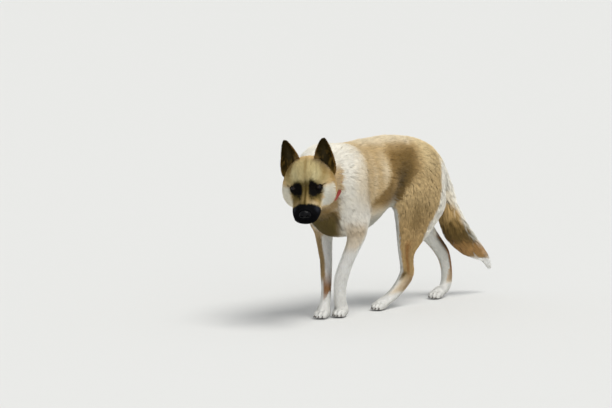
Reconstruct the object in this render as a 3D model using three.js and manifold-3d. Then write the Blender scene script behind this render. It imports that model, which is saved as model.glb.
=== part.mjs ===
// A dog of the prick-eared, thick-coated shepherd kind, life size, standing in mid stride with its head low and
// turned to its left. Millimetres, +Z up, the dog faces -Y and its left side is +X. All four soles are flat at Z = 0.
//
// The animal is described as smooth-blended volumes: tubes with egg-shaped sections along curved lines (Tube) and
// turned ellipsoids (Ball). Each named part is a surface drawn round its share of those volumes, then cut along
// joint planes that leave a thin gap to the neighbouring part.
import * as THREE from "three";
import { mergeVertices } from "three/addons/utils/BufferGeometryUtils.js";
import Module from "manifold-3d";

const wasm = await Module();
wasm.setup();

// ---------------------------------------------------------------- driving sizes
const GAP = 0.3; // clearance between neighbouring parts
const CENTRE = { x: 24.56, y: 265.5 }; // middle of the floor print of the whole dog, moved to the origin at the end
const HEAD = { at: [106, -263.9, 479.4], yaw: 34, pitch: 23, roll: 4.2, scale: 1.12 }; // between the eyes
const EYE = { side: 37.5, deep: -2.6, radius: 11.8 };
const COLLAR = { at: [37, -125.4, 487.6], normal: [0.42, -0.88, 0.2], width: 18, outer: 8, inner: 12.5, groove: 9, spread: 13 };
const BLEND = { head: 30, tail: 24.5, foreleg: 34, hindleg: 44, shoulder: 60 };
const CELL = { trunk: 40, neck: 42, tail: 24.5, foreleg: 16.5, hindleg: 21.6, paw: 11.2, head: 14.6, nose: 7 };

// Each row is one section: x, y, z of its middle, half width, and its reach to either side of the line in the
// other direction (up and down for the body, back and front for a leg).
const TRUNK = [
  [16, -105, 430, 62, 76, 80], // forechest
  [10, -65, 455, 94, 112, 135],
  [2, -10, 462, 112, 142, 172], // withers and brisket
  [0, 60, 455, 110, 155, 178],
  [-2, 130, 462, 110, 154, 172],
  [-4, 210, 485, 106, 141, 150],
  [-4, 300, 510, 94, 118, 122], // tuck-up
  [-2, 390, 510, 90, 112, 108],
  [0, 460, 498, 90, 110, 100], // croup
  [2, 520, 482, 78, 98, 92],
  [4, 566, 462, 60, 80, 80],
  [5, 598, 444, 42, 56, 62],
];
const NECK = [
  [60, -176, 488, 86, 78, 96],
  [44, -140, 490, 90, 84, 104],
  [22, -80, 490, 96, 92, 112],
  [6, -20, 490, 98, 98, 120],
];
const TAIL = [
  [4, 590, 486, 34, 34, 36],
  [5, 625, 450, 34, 36, 36],
  [6, 646, 416, 36, 37, 37],
  [8, 663, 359, 42, 44, 44],
  [12, 680, 306, 46, 51, 51],
  [18, 710, 252, 48, 54, 54],
  [24, 743, 218, 46, 49, 49],
  [28, 776, 192, 40, 42, 42],
  [34, 813, 168, 30, 32, 32],
  [39, 848, 145, 19, 20, 20],
  [42, 870, 124, 11, 12, 12],
  [44, 888, 100, 5, 6, 6],
];
const FORELEG_LEFT = [
  [62, 4, 480, 34, 60, 60],
  [76, 10, 420, 38, 66, 70],
  [82, 40, 350, 35, 56, 62],
  [80, 46, 300, 30, 38, 42], // elbow
  [72, 33, 256, 24, 31, 32],
  [60, 21, 215, 22, 27, 28],
  [47, 12, 172, 22, 27, 28],
  [36, 9, 135, 23, 26, 28], // wrist
  [29, 12, 98, 21, 23, 26],
  [24, 20, 58, 21, 21, 25],
  [22, 28, 34, 22, 22, 22],
];
const FORELEG_RIGHT = [
  [-62, 4, 480, 34, 60, 60],
  [-76, 10, 420, 38, 66, 70],
  [-82, 42, 350, 35, 56, 62],
  [-80, 52, 300, 30, 40, 42],
  [-70, 46, 258, 25, 34, 36],
  [-58, 36, 222, 22, 29, 30],
  [-45, 25, 188, 20, 25, 26],
  [-32, 10, 150, 19, 22, 24],
  [-22, -2, 115, 18, 19, 20],
  [-14, -13, 80, 18, 17, 18],
  [-8, -26, 50, 19, 18, 19],
  [-4, -38, 34, 21, 20, 20],
];
const HINDLEG_LEFT = [
  [44, 468, 545, 34, 50, 50],
  [54, 456, 480, 50, 100, 98],
  [62, 438, 405, 54, 134, 150], // thigh, with its fringe behind
  [62, 424, 360, 47, 124, 154],
  [60, 408, 315, 40, 96, 130], // knee in front
  [57, 388, 272, 33, 72, 92],
  [53, 374, 233, 27, 54, 62],
  [49, 370, 200, 23, 39, 43],
  [43, 377, 163, 21, 30, 33],
  [37, 385, 122, 21, 33, 33], // hock
  [32, 366, 88, 19, 26, 30],
  [28, 334, 58, 18, 20, 27],
  [24, 300, 38, 19, 18, 22],
  [22, 270, 28, 20, 18, 18],
];
const HINDLEG_RIGHT = [
  [-44, 474, 545, 34, 50, 50],
  [-54, 486, 480, 50, 96, 96],
  [-60, 512, 405, 50, 84, 84],
  [-60, 534, 350, 42, 72, 74],
  [-56, 566, 300, 34, 54, 56],
  [-50, 606, 262, 28, 40, 42],
  [-44, 643, 225, 23, 32, 34],
  [-36, 672, 192, 20, 30, 32],
  [-29, 690, 163, 19, 32, 31],
  [-22, 697, 134, 19, 27, 28],
  [-16, 698, 99, 18, 25, 26],
  [-12, 692, 60, 18, 26, 26],
  [-10, 674, 34, 19, 21, 22],
  [-7, 642, 26, 20, 18, 18],
];
const PAWS = {
  // middle on the floor, degrees the toes turn to the dog's left, size against a fore paw
  foreleg_left: { at: [22, 24], turn: 14, size: 1 },
  foreleg_right: { at: [-4, -43], turn: 8, size: 1 },
  hindleg_left: { at: [20, 248], turn: 4, size: 0.96 },
  hindleg_right: { at: [-6, 622], turn: 6, size: 0.96 },
};
// In the head's own frame (left, forward, up from between the eyes), before its scale.
const BRIDGE = [
  [0, -4, -17, 22, 18, 22],
  [0, 30, -25, 21, 16, 20],
  [0, 62, -33.5, 21, 15.5, 19],
  [0, 86, -40, 20, 14, 16],
];
const JAWS = [
  [0, -10, -48, 46, 30, 36],
  [0, 25, -50, 45, 29, 33],
  [0, 58, -56, 42, 25, 29],
  [0, 80, -60, 36, 22, 24],
];
// left, forward, up, half width, depth of the back of the shell, depth of its hollow
const EAR = [
  [60, -72, -8, 12, 9, -4],
  [62, -72, 6, 22, 13, -4],
  [57, -72, 26, 31, 19, 1],
  [54, -72, 46, 33, 20, 9],
  [53, -72, 64, 31, 18, 12],
  [54, -69, 84, 26.5, 14.5, 10],
  [56, -66, 104, 20, 11, 7.2],
  [58, -63, 121, 13, 7.5, 4.4],
  [60, -60, 136, 5, 4, 1.6],
];

// ---------------------------------------------------------------- small vector kit
const add = (a, b, s = 1) => [a[0] + s * b[0], a[1] + s * b[1], a[2] + s * b[2]];
const dot = (a, b) => a[0] * b[0] + a[1] * b[1] + a[2] * b[2];
const cross = (a, b) => [a[1] * b[2] - a[2] * b[1], a[2] * b[0] - a[0] * b[2], a[0] * b[1] - a[1] * b[0]];
const unit = (a) => add([0, 0, 0], a, 1 / Math.hypot(...a));
const rad = (d) => (d * Math.PI) / 180;

// The head's own axes: left, forward and up, level and facing -Y before it is turned, nodded and tilted.
const HEAD_AXES = (() => {
  const [y, p, r] = [rad(HEAD.yaw), rad(HEAD.pitch), rad(HEAD.roll)];
  const F = [Math.sin(y) * Math.cos(p), -Math.cos(y) * Math.cos(p), -Math.sin(p)];
  const L0 = [Math.cos(y), Math.sin(y), 0];
  const U0 = cross(F, L0);
  const L = add(add([0, 0, 0], L0, Math.cos(r)), U0, Math.sin(r));
  const U = add(add([0, 0, 0], L0, -Math.sin(r)), U0, Math.cos(r));
  return [L, F, U];
})();
const headDir = (v) => add(add(add([0, 0, 0], HEAD_AXES[0], v[0]), HEAD_AXES[1], v[1]), HEAD_AXES[2], v[2]);
const headPoint = (v) => add(HEAD.at, headDir(v), HEAD.scale);

// ---------------------------------------------------------------- volumes
const SPANS = 5; // pieces a curved line has between two sections

function spline(rows) {
  const P = [
    rows[0].map((v, i) => 2 * v - rows[1][i]),
    ...rows,
    rows.at(-1).map((v, i) => 2 * v - rows.at(-2)[i]),
  ];
  const out = [];
  for (let i = 1; i < P.length - 2; i++)
    for (let j = 0; j < SPANS; j++) {
      const t = j / SPANS;
      out.push(
        P[i].map((_, c) => {
          const [a, b, d, e] = [P[i - 1][c], P[i][c], P[i + 1][c], P[i + 2][c]];
          return 0.5 * (2 * b + (d - a) * t + (2 * a - 5 * b + 4 * d - e) * t * t + (3 * b - a - 3 * d + e) * t ** 3);
        }),
      );
    }
  out.push(P.at(-2));
  return out;
}

class Tube {
  constructor(rows, { side = [1, 0, 0], cap = [0.9, 0.9], blend = 30 } = {}) {
    const R = spline(rows);
    this.blend = blend;
    this.cap = cap;
    this.P = R.map((r) => r.slice(0, 3));
    this.r = R.map((r) => r.slice(3, 6).map((v) => Math.max(v, 1)));
    const n = R.length;
    side = unit(side);
    this.S = [];
    this.V = [];
    for (let i = 0; i < n; i++) {
      const T = unit(add(this.P[Math.min(i + 1, n - 1)], this.P[Math.max(i - 1, 0)], -1));
      const S = unit(add(side, T, -dot(side, T)));
      this.S.push(S);
      this.V.push(cross(S, T));
    }
    this.lo = [0, 1, 2].map((c) => Math.min(...this.P.map((p, i) => p[c] - Math.max(...this.r[i]))));
    this.hi = [0, 1, 2].map((c) => Math.max(...this.P.map((p, i) => p[c] + Math.max(...this.r[i]))));
  }
  at(x, y, z) {
    let best = 1e9;
    const n = this.P.length;
    for (let i = 0; i < n - 1; i++) {
      const A = this.P[i],
        B = this.P[i + 1];
      const dx = B[0] - A[0],
        dy = B[1] - A[1],
        dz = B[2] - A[2];
      let qx = x - A[0],
        qy = y - A[1],
        qz = z - A[2];
      const t = Math.min(1, Math.max(0, (qx * dx + qy * dy + qz * dz) / (dx * dx + dy * dy + dz * dz)));
      qx -= t * dx;
      qy -= t * dy;
      qz -= t * dz;
      const S0 = this.S[i],
        S1 = this.S[i + 1],
        V0 = this.V[i],
        V1 = this.V[i + 1],
        r0 = this.r[i],
        r1 = this.r[i + 1],
        s = 1 - t;
      const u = qx * (s * S0[0] + t * S1[0]) + qy * (s * S0[1] + t * S1[1]) + qz * (s * S0[2] + t * S1[2]);
      const v = qx * (s * V0[0] + t * V1[0]) + qy * (s * V0[1] + t * V1[1]) + qz * (s * V0[2] + t * V1[2]);
      const q2 = qx * qx + qy * qy + qz * qz;
      const w2 = Math.max(q2 - u * u - v * v, 0);
      const a = s * r0[0] + t * r1[0];
      const b = v > 0 ? s * r0[1] + t * r1[1] : s * r0[2] + t * r1[2];
      const c = (i < n / 2 ? this.cap[0] : this.cap[1]) * Math.min(a, 0.5 * (s * (r0[1] + r0[2]) + t * (r1[1] + r1[2])));
      const rho = Math.sqrt((u / a) ** 2 + (v / b) ** 2 + w2 / (c * c)) + 1e-9;
      const f = (Math.sqrt(q2) + 1e-9) * (1 - 1 / rho);
      if (f < best) best = f;
    }
    return best;
  }
}

class Ball {
  constructor(middle, radii, { axes = [[1, 0, 0], [0, 1, 0], [0, 0, 1]], blend = 20 } = {}) {
    Object.assign(this, { middle, radii, axes, blend });
    const m = Math.max(...radii);
    this.lo = middle.map((v) => v - m);
    this.hi = middle.map((v) => v + m);
  }
  at(x, y, z) {
    const q = [x - this.middle[0], y - this.middle[1], z - this.middle[2]];
    const u = dot(q, this.axes[0]) / this.radii[0],
      v = dot(q, this.axes[1]) / this.radii[1],
      w = dot(q, this.axes[2]) / this.radii[2];
    const rho = Math.sqrt(u * u + v * v + w * w) + 1e-9;
    return (Math.hypot(...q) + 1e-9) * (1 - 1 / rho);
  }
}

const smoothMin = (a, b, k) => {
  const h = Math.max(k - Math.abs(a - b), 0) / k;
  return Math.min(a, b) - h * h * k * 0.25;
};

function fold(list, x, y, z, start = null) {
  let r = start;
  for (const q of list) {
    const dx = Math.max(q.lo[0] - x, x - q.hi[0], 0),
      dy = Math.max(q.lo[1] - y, y - q.hi[1], 0),
      dz = Math.max(q.lo[2] - z, z - q.hi[2], 0);
    const far = Math.hypot(dx, dy, dz);
    const v = far < 60 ? q.at(x, y, z) : far + 20;
    r = r === null ? v : smoothMin(r, v, q.blend);
  }
  return r;
}

const headBall = (c, r, k) => new Ball(headPoint(c), r.map((v) => v * HEAD.scale), { axes: HEAD_AXES, blend: k * HEAD.scale });

const headTube = (rows, k) =>
  new Tube(
    rows.map((r) => [...headPoint(r.slice(0, 3)), ...r.slice(3).map((v) => v * HEAD.scale)]),
    { side: HEAD_AXES[0], cap: [0.8, 0.5], blend: k * HEAD.scale },
  );

const body = [
  new Tube(TRUNK, { cap: [0.5, 0.8], blend: 40 }),
  new Tube(NECK, { cap: [0.8, 0.8], side: [0.85, 0.5, 0], blend: 60 }),
  ...[1, -1].map((s) => new Ball([58 * s, 0, 505], [52, 92, 92], { blend: BLEND.shoulder })),
];
const tail = [new Tube(TAIL, { cap: [0.9, 1.6], blend: BLEND.tail })];
const skull = [
  headBall([0, -64, 8], [66, 70, 60], 20), // brain case
  ...[1, -1].map((s) => headBall([24 * s, -17, 14], [28, 21, 19], 18)), // brows
  ...[1, -1].map((s) => headBall([41 * s, -46, -32], [42, 48, 54], 26)), // cheeks and ruff
  ...[1, -1].map((s) => headBall([33 * s, -16, -19], [25, 25, 23], 16)), // under the eyes
  headTube(JAWS, 22), // lips and lower jaw
  headTube(BRIDGE, 16),
];

function pawBalls({ at, turn, size }) {
  const a = rad(turn);
  const F = [Math.sin(a), -Math.cos(a), 0],
    L = [Math.cos(a), Math.sin(a), 0],
    U = [0, 0, 1];
  const w = (l, f, u) => add(add([at[0] + size * l * L[0], at[1] + size * l * L[1], size * u], F, size * f), U, 0);
  const dip = rad(22);
  const toeF = add(add([0, 0, 0], F, Math.cos(dip)), U, -Math.sin(dip));
  const toeU = add(add([0, 0, 0], F, Math.sin(dip)), U, Math.cos(dip));
  const out = [new Ball(w(0, -6, 19), [23, 29, 22].map((v) => v * size), { axes: [L, F, U], blend: 14 })];
  for (const [l, f] of [[-16.5, 14], [-6.2, 22], [6.2, 22], [16.5, 14]])
    out.push(new Ball(w(l, f, 15.5), [8.6, 16.5, 14].map((v) => v * size), { axes: [L, toeF, toeU], blend: 5 }));
  return { balls: out, place: w, L, F, U, size };
}
const paws = Object.fromEntries(Object.entries(PAWS).map(([n, p]) => [n, pawBalls(p)]));
const legs = {
  foreleg_left: [new Tube(FORELEG_LEFT, { blend: BLEND.foreleg }), ...paws.foreleg_left.balls],
  foreleg_right: [new Tube(FORELEG_RIGHT, { blend: BLEND.foreleg }), ...paws.foreleg_right.balls],
  hindleg_left: [new Tube(HINDLEG_LEFT, { blend: BLEND.hindleg }), ...paws.hindleg_left.balls],
  hindleg_right: [new Tube(HINDLEG_RIGHT, { blend: BLEND.hindleg }), ...paws.hindleg_right.balls],
};

// The coat lies pressed down in a shallow groove under the collar.
const collarNormal = unit(COLLAR.normal);
function groove(x, y, z) {
  const q = [x - COLLAR.at[0], y - COLLAR.at[1], z - COLLAR.at[2]];
  if (Math.hypot(...q) > 190) return 0;
  const s = dot(q, collarNormal) / COLLAR.spread;
  return COLLAR.groove * Math.exp(-s * s);
}
const bodyAt = (x, y, z) => fold(body, x, y, z);
const legAt = (name) => (x, y, z) => smoothMin(bodyAt(x, y, z), fold(legs[name], x, y, z), legs[name][0].blend);
const tailAt = (x, y, z) => fold(tail, x, y, z, bodyAt(x, y, z));
const headAt = (x, y, z) => smoothMin(bodyAt(x, y, z) + groove(x, y, z), fold(skull, x, y, z), BLEND.head);
function trunkAt(x, y, z) {
  const r = bodyAt(x, y, z);
  let f = fold(tail, x, y, z, r);
  for (const n in legs) f = Math.min(f, smoothMin(r, fold(legs[n], x, y, z), legs[n][0].blend));
  return f;
}

// ---------------------------------------------------------------- surfaces and solids
const solid = (positions, triangles) =>
  new wasm.Manifold(
    new wasm.Mesh({ numProp: 3, vertProperties: new Float32Array(positions), triVerts: new Uint32Array(triangles) }),
  );

function fromGeometry(g) {
  g = g.clone();
  g.deleteAttribute("normal");
  g.deleteAttribute("uv");
  g = mergeVertices(g, 1e-4);
  return solid(g.attributes.position.array, g.index.array);
}

// A closed surface where f is zero inside the box, one vertex to each cell it passes through, drawn onto f. It stops
// a little beyond the planes (normals pointing to what is kept), and a little inside the regions of carved.
// The cells can be longer one way, as a limb is, by its stretch.
// A grid that pinches the surface at a point is moved a little and drawn again.
function surface(f, lo, hi, cell, planes = [], carved = [], { place = (p) => p, stretch = null } = {}) {
  if (stretch) {
    const long = (p) => p.map((v, i) => v * stretch[i]),
      short = (p) => p.map((v, i) => v / stretch[i]);
    const plane = ({ at, n }) => ({ at: short(at), n: long(n) });
    const carve = carved.map((list) => list.map(plane));
    return surface((...p) => f(...long(p)), short(lo), short(hi), cell, planes.map(plane), carve, { place: (p) => place(long(p)) });
  }
  for (let i = 0; ; i++)
    try {
      return surfaceOnce(f, lo.map((v) => v - (1 + 0.17 * i) * cell), hi.map((v) => v + cell), cell * (1 - 0.006 * i), planes, carved, place);
    } catch (e) {
      if (i > 14 || !String(e).includes("anifold")) throw e;
    }
}
function surfaceOnce(f, lo, hi, cell, planes, carved, place) {
  const half = ({ at, n }) => ({ n: unit(n), d: dot(unit(n), at) - 1.3 * cell });
  const keep = planes.map(half);
  const drop = carved.map((list) => list.map(half));
  const reach = 1.3 * cell;
  const g = (x, y, z) => {
    let v = f(x, y, z);
    for (const k of keep) v = Math.max(v, k.d - (k.n[0] * x + k.n[1] * y + k.n[2] * z));
    for (const list of drop) {
      let deep = 1e9;
      for (const k of list) deep = Math.min(deep, k.n[0] * x + k.n[1] * y + k.n[2] * z - k.d - reach);
      v = Math.max(v, deep - reach);
    }
    return v;
  };
  const N = [0, 1, 2].map((i) => Math.ceil((hi[i] - lo[i]) / cell));
  const at = (i, j, k) => (i * (N[1] + 1) + j) * (N[2] + 1) + k;
  const val = new Float64Array((N[0] + 1) * (N[1] + 1) * (N[2] + 1));
  for (let i = 0; i <= N[0]; i++)
    for (let j = 0; j <= N[1]; j++)
      for (let k = 0; k <= N[2]; k++) val[at(i, j, k)] = g(lo[0] + i * cell, lo[1] + j * cell, lo[2] + k * cell);
  const vert = new Map();
  const P = [];
  const corner = [];
  for (let c = 0; c < 8; c++) corner.push([c >> 2, (c >> 1) & 1, c & 1]);
  for (let i = 0; i < N[0]; i++)
    for (let j = 0; j < N[1]; j++)
      for (let k = 0; k < N[2]; k++) {
        const v = corner.map(([a, b, c]) => val[at(i + a, j + b, k + c)]);
        if (v.every((q) => q < 0) || v.every((q) => q >= 0)) continue;
        const s = [0, 0, 0];
        let n = 0;
        for (let a = 0; a < 8; a++)
          for (const bit of [1, 2, 4]) {
            const b = a | bit;
            if (b === a || v[a] < 0 === v[b] < 0) continue;
            const t = v[a] / (v[a] - v[b]);
            for (let d = 0; d < 3; d++) s[d] += corner[a][d] + t * (corner[b][d] - corner[a][d]);
            n++;
          }
        vert.set(at(i, j, k), P.length);
        P.push([lo[0] + (i + s[0] / n) * cell, lo[1] + (j + s[1] / n) * cell, lo[2] + (k + s[2] / n) * cell]);
      }
  const quads = [];
  const step = [[1, 0, 0], [0, 1, 0], [0, 0, 1]];
  for (let i = 1; i < N[0]; i++)
    for (let j = 1; j < N[1]; j++)
      for (let k = 1; k < N[2]; k++)
        for (let d = 0; d < 3; d++) {
          const a = val[at(i, j, k)],
            b = val[at(i + step[d][0], j + step[d][1], k + step[d][2])];
          if (a < 0 === b < 0) continue;
          const e = step[(d + 1) % 3],
            h = step[(d + 2) % 3];
          const id = [[0, 0], [1, 0], [1, 1], [0, 1]].map(([m, n]) =>
            vert.get(at(i - m * e[0] - n * h[0], j - m * e[1] - n * h[1], k - m * e[2] - n * h[2])),
          );
          if (id.some((q) => q === undefined)) throw new Error("a surface runs out of its box");
          quads.push(a < 0 ? id : id.reverse());
        }
  const draw = () => {
    for (const p of P)
      for (let s = 0; s < 2; s++) {
        const v = g(...p);
        const G = [0, 1, 2].map((c) => {
          const q = [...p],
            w = [...p];
          q[c] += 0.5;
          w[c] -= 0.5;
          return g(...q) - g(...w);
        });
        const m = Math.max(dot(G, G), 0.05);
        const l = Math.min(1, (0.6 * cell) / Math.max(Math.abs(v) / Math.sqrt(m), 1e-9));
        for (let c = 0; c < 3; c++) p[c] -= (G[c] * v * l) / m;
      }
  };
  draw();
  // Even the vertices out over the surface once, then draw them back onto it.
  const sum = P.map(() => [0, 0, 0, 0]);
  for (const q of quads)
    for (let c = 0; c < 4; c++) {
      const a = q[c],
        b = q[(c + 1) % 4];
      for (let d = 0; d < 3; d++) {
        sum[a][d] += P[b][d];
        sum[b][d] += P[a][d];
      }
      sum[a][3]++;
      sum[b][3]++;
    }
  P.forEach((p, i) => {
    if (!sum[i][3]) throw new Error("a surface touches its box at " + p.map(Math.round));
    for (let d = 0; d < 3; d++) p[d] += 0.45 * (sum[i][d] / sum[i][3] - p[d]);
  });
  draw();
  const tri = [];
  for (const [a, b, c, d] of quads) {
    const ac = Math.hypot(...add(P[a], P[c], -1)),
      bd = Math.hypot(...add(P[b], P[d], -1));
    if (ac < bd) tri.push(a, b, c, a, c, d);
    else tri.push(b, c, d, b, d, a);
  }
  return solid(P.map(place).flat(), tri);
}

// Keeps what lies on the side a plane's normal points to, less a shift.
const trim = (s, { at, n }, shift = 0) => s.trimByPlane(unit(n), dot(unit(n), at) + shift);
const flip = ({ at, n }) => ({ at, n: n.map((v) => -v) });
// A block bounded by planes, its normals pointing into it, grown on every side by the gap.
function block(planes, grow = GAP) {
  const g = new THREE.BoxGeometry(3000, 3000, 3000);
  return planes.reduce((s, p) => trim(s, p, -grow), fromGeometry(g));
}
function largest(s) {
  const parts = s.decompose().sort((a, b) => b.volume() - a.volume());
  return parts[0];
}

// A loft through rings of points, closed at both ends.
function loft(rings) {
  const n = rings[0].length;
  const P = rings.flat();
  const tri = [];
  for (let i = 0; i < rings.length - 1; i++)
    for (let j = 0; j < n; j++) {
      const k = (j + 1) % n;
      const [a, b, c, d] = [i * n + j, i * n + k, (i + 1) * n + k, (i + 1) * n + j];
      tri.push(a, b, c, a, c, d);
    }
  for (const [i, turn] of [[0, true], [rings.length - 1, false]]) {
    const h = n / 2; // the cap is a strip between the two halves of the ring
    for (let j = 0; j < h - 1; j++) {
      const [a, b, c, d] = [i * n + j, i * n + j + 1, i * n + n - 2 - j, i * n + n - 1 - j];
      const t = j === h - 1 ? [a, b, c] : [a, b, c, a, c, d];
      tri.push(...(turn ? t.reverse() : t));
    }
  }
  const s = solid(P.flat(), tri);
  return s;
}

// ---------------------------------------------------------------- joint planes (normals point into the part named)
const CUT = {
  head: { at: [44, -164, 500], n: [0.43, -0.87, 0.1] },
  neck: { at: [10, -52, 505], n: [0.2, -0.93, 0.3] },
  foreleg_left: [{ at: [80, 30, 314], n: [0.35, 0, -0.94] }, { at: [42, 0, 290], n: [1, 0, -0.27] }],
  foreleg_right: [{ at: [-80, 40, 314], n: [-0.35, 0, -0.94] }, { at: [-42, 0, 290], n: [-1, 0, -0.27] }],
  hindleg_left: [{ at: [0, 0, 399], n: [0, 0, -1] }, { at: [0, 235, 0], n: [0, 1, 0] }, { at: [0, 0, 0], n: [1, 0, 0] }],
  hindleg_right: [{ at: [0, 0, 399], n: [0, 0, -1] }, { at: [0, 372, 0], n: [0, 1, 0] }, { at: [0, 0, 0], n: [-1, 0, 0] }],
  tail: [{ at: [5, 622, 452], n: [0, 0.5, -0.866] }, { at: [5, 612, 420], n: [0, 1, -0.15] }],
  floor: { at: [0, 0, 0], n: [0, 0, 1] },
  paw: {
    foreleg_left: { at: [22, 26, 44], n: [0, 0, -1] },
    foreleg_right: { at: [-5, -34, 44], n: [0, 0, -1] },
    hindleg_left: { at: [24, 296, 38], n: [-0.1, -0.9, -0.35] },
    hindleg_right: { at: [-8, 656, 32], n: [0, -0.93, -0.3] },
  },
};

const group = new THREE.Group();
group.name = "dog";
// Vertices snapped to a fine lattice, so that the slivers a cut leaves close up, or null where that opens an edge.
function snapped(m, step) {
  const index = new Map();
  const P = [];
  const id = [];
  for (let i = 0; i < m.numVert; i++) {
    const q = [0, 1, 2].map((c) => m.vertProperties[i * m.numProp + c] - [CENTRE.x, CENTRE.y, 0][c]);
    const key = q.map((v) => Math.round(v / step)).join();
    if (!index.has(key)) {
      index.set(key, P.length / 3);
      P.push(...q.map((v) => Math.round(v / step) * step));
    }
    id.push(index.get(key));
  }
  const tri = [];
  const edges = new Map();
  for (let i = 0; i < m.triVerts.length; i += 3) {
    const t = [0, 1, 2].map((c) => id[m.triVerts[i + c]]);
    if (t[0] === t[1] || t[1] === t[2] || t[2] === t[0]) continue;
    tri.push(...t);
    for (let c = 0; c < 3; c++) {
      const e = [t[c], t[(c + 1) % 3]].sort((a, b) => a - b).join();
      edges.set(e, (edges.get(e) || 0) + 1);
    }
  }
  return [...edges.values()].every((n) => n === 2) ? { P, tri } : null;
}
function node(name, s, colour, roughness = 0.9) {
  const m = s.getMesh();
  const fit = [0.02, 0.013, 0.031, 0.007, 0.047, 0.004].map((step) => snapped(m, step)).find((q) => q);
  if (!fit) throw new Error(name + " has slivers that don't close");
  const g = new THREE.BufferGeometry()
    .setAttribute("position", new THREE.BufferAttribute(new Float32Array(fit.P), 3))
    .setIndex(new THREE.BufferAttribute(new Uint32Array(fit.tri), 1));
  g.computeVertexNormals();
  const mesh = new THREE.Mesh(g, new THREE.MeshStandardMaterial({ color: colour, roughness, metalness: 0 }));
  mesh.name = name;
  group.add(mesh);
}
const CREAM = 0xcdc3ab,
  TAN = 0xb0946a,
  WHITE = 0xdcdcd4,
  BROWN = 0x6b5030,
  BLACK = 0x14110f,
  RED = 0x9c2f22;

// ---------------------------------------------------------------- trunk, with the legs, neck and tail cut away
let trunk = surface(trunkAt, [-160, -195, 190], [160, 760, 670], CELL.trunk, [flip(CUT.neck)], [CUT.hindleg_left, CUT.hindleg_right, CUT.tail, CUT.foreleg_left, CUT.foreleg_right, [{ at: [0, 0, 268], n: [0, 0, -1] }]], { stretch: [1, 1.5, 1] });
trunk = trim(trunk, flip(CUT.neck));
trunk = trunk.subtract(block(CUT.tail));
for (const n in legs) trunk = trunk.subtract(block(CUT[n]));
node("trunk", largest(trunk), TAN);

// ---------------------------------------------------------------- neck and collar
// The collar follows the neck's own section, a little below the surface of the coat.
const collarSide = unit(add([0, 0, 1], collarNormal, -collarNormal[2]));
const collarAcross = cross(collarNormal, collarSide);
function neckReach(angle, depth) {
  const d = add(add([0, 0, 0], collarSide, Math.cos(angle)), collarAcross, Math.sin(angle));
  let [lo, hi] = [10, 220];
  for (let i = 0; i < 40; i++) {
    const r = (lo + hi) / 2;
    if (bodyAt(...add(COLLAR.at, d, r)) < -depth) lo = r;
    else hi = r;
  }
  return { d, r: lo };
}
function band(inner, outer, half, steps = 28) {
  const rings = [];
  for (let i = 0; i < steps; i++) {
    const a = (2 * Math.PI * i) / steps;
    const p = neckReach(a, inner),
      q = neckReach(a, outer);
    const inside = add(COLLAR.at, p.d, p.r),
      outside = outer < 0 ? add(COLLAR.at, q.d, p.r + 60) : add(COLLAR.at, q.d, q.r);
    rings.push([
      add(inside, collarNormal, -half),
      add(outside, collarNormal, -half),
      add(outside, collarNormal, half),
      add(inside, collarNormal, half),
    ]);
  }
  const P = rings.flat();
  const tri = [];
  for (let i = 0; i < steps; i++)
    for (let j = 0; j < 4; j++) {
      const a = i * 4 + j,
        b = i * 4 + ((j + 1) % 4),
        c = ((i + 1) % steps) * 4 + ((j + 1) % 4),
        d = ((i + 1) % steps) * 4 + j;
      tri.push(a, c, b, a, d, c);
    }
  let s = solid(P.flat(), tri);
  if (s.volume() < 0) s = solid(P.flat(), tri.reverse());
  return s;
}
const collar = band(COLLAR.inner, COLLAR.outer, COLLAR.width / 2);
const channel = band(COLLAR.inner + GAP, -1, COLLAR.width / 2 + GAP);
let neck = surface(
  (x, y, z) => bodyAt(x, y, z) + groove(x, y, z),
  [-150, -300, 300],
  [210, 90, 670],
  CELL.neck,
  [CUT.neck, flip(CUT.head)],
);
neck = trim(trim(neck, CUT.neck, GAP), flip(CUT.head), GAP / 2).subtract(channel);
node("neck", largest(neck), CREAM);
node("collar", collar, RED, 0.7);

// ---------------------------------------------------------------- tail
let tailSolid = surface(tailAt, [-110, 545, 60], [130, 930, 545], CELL.tail, CUT.tail);
for (const c of CUT.tail) tailSolid = trim(tailSolid, c, GAP);
node("tail", largest(tailSolid), TAN);

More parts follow.
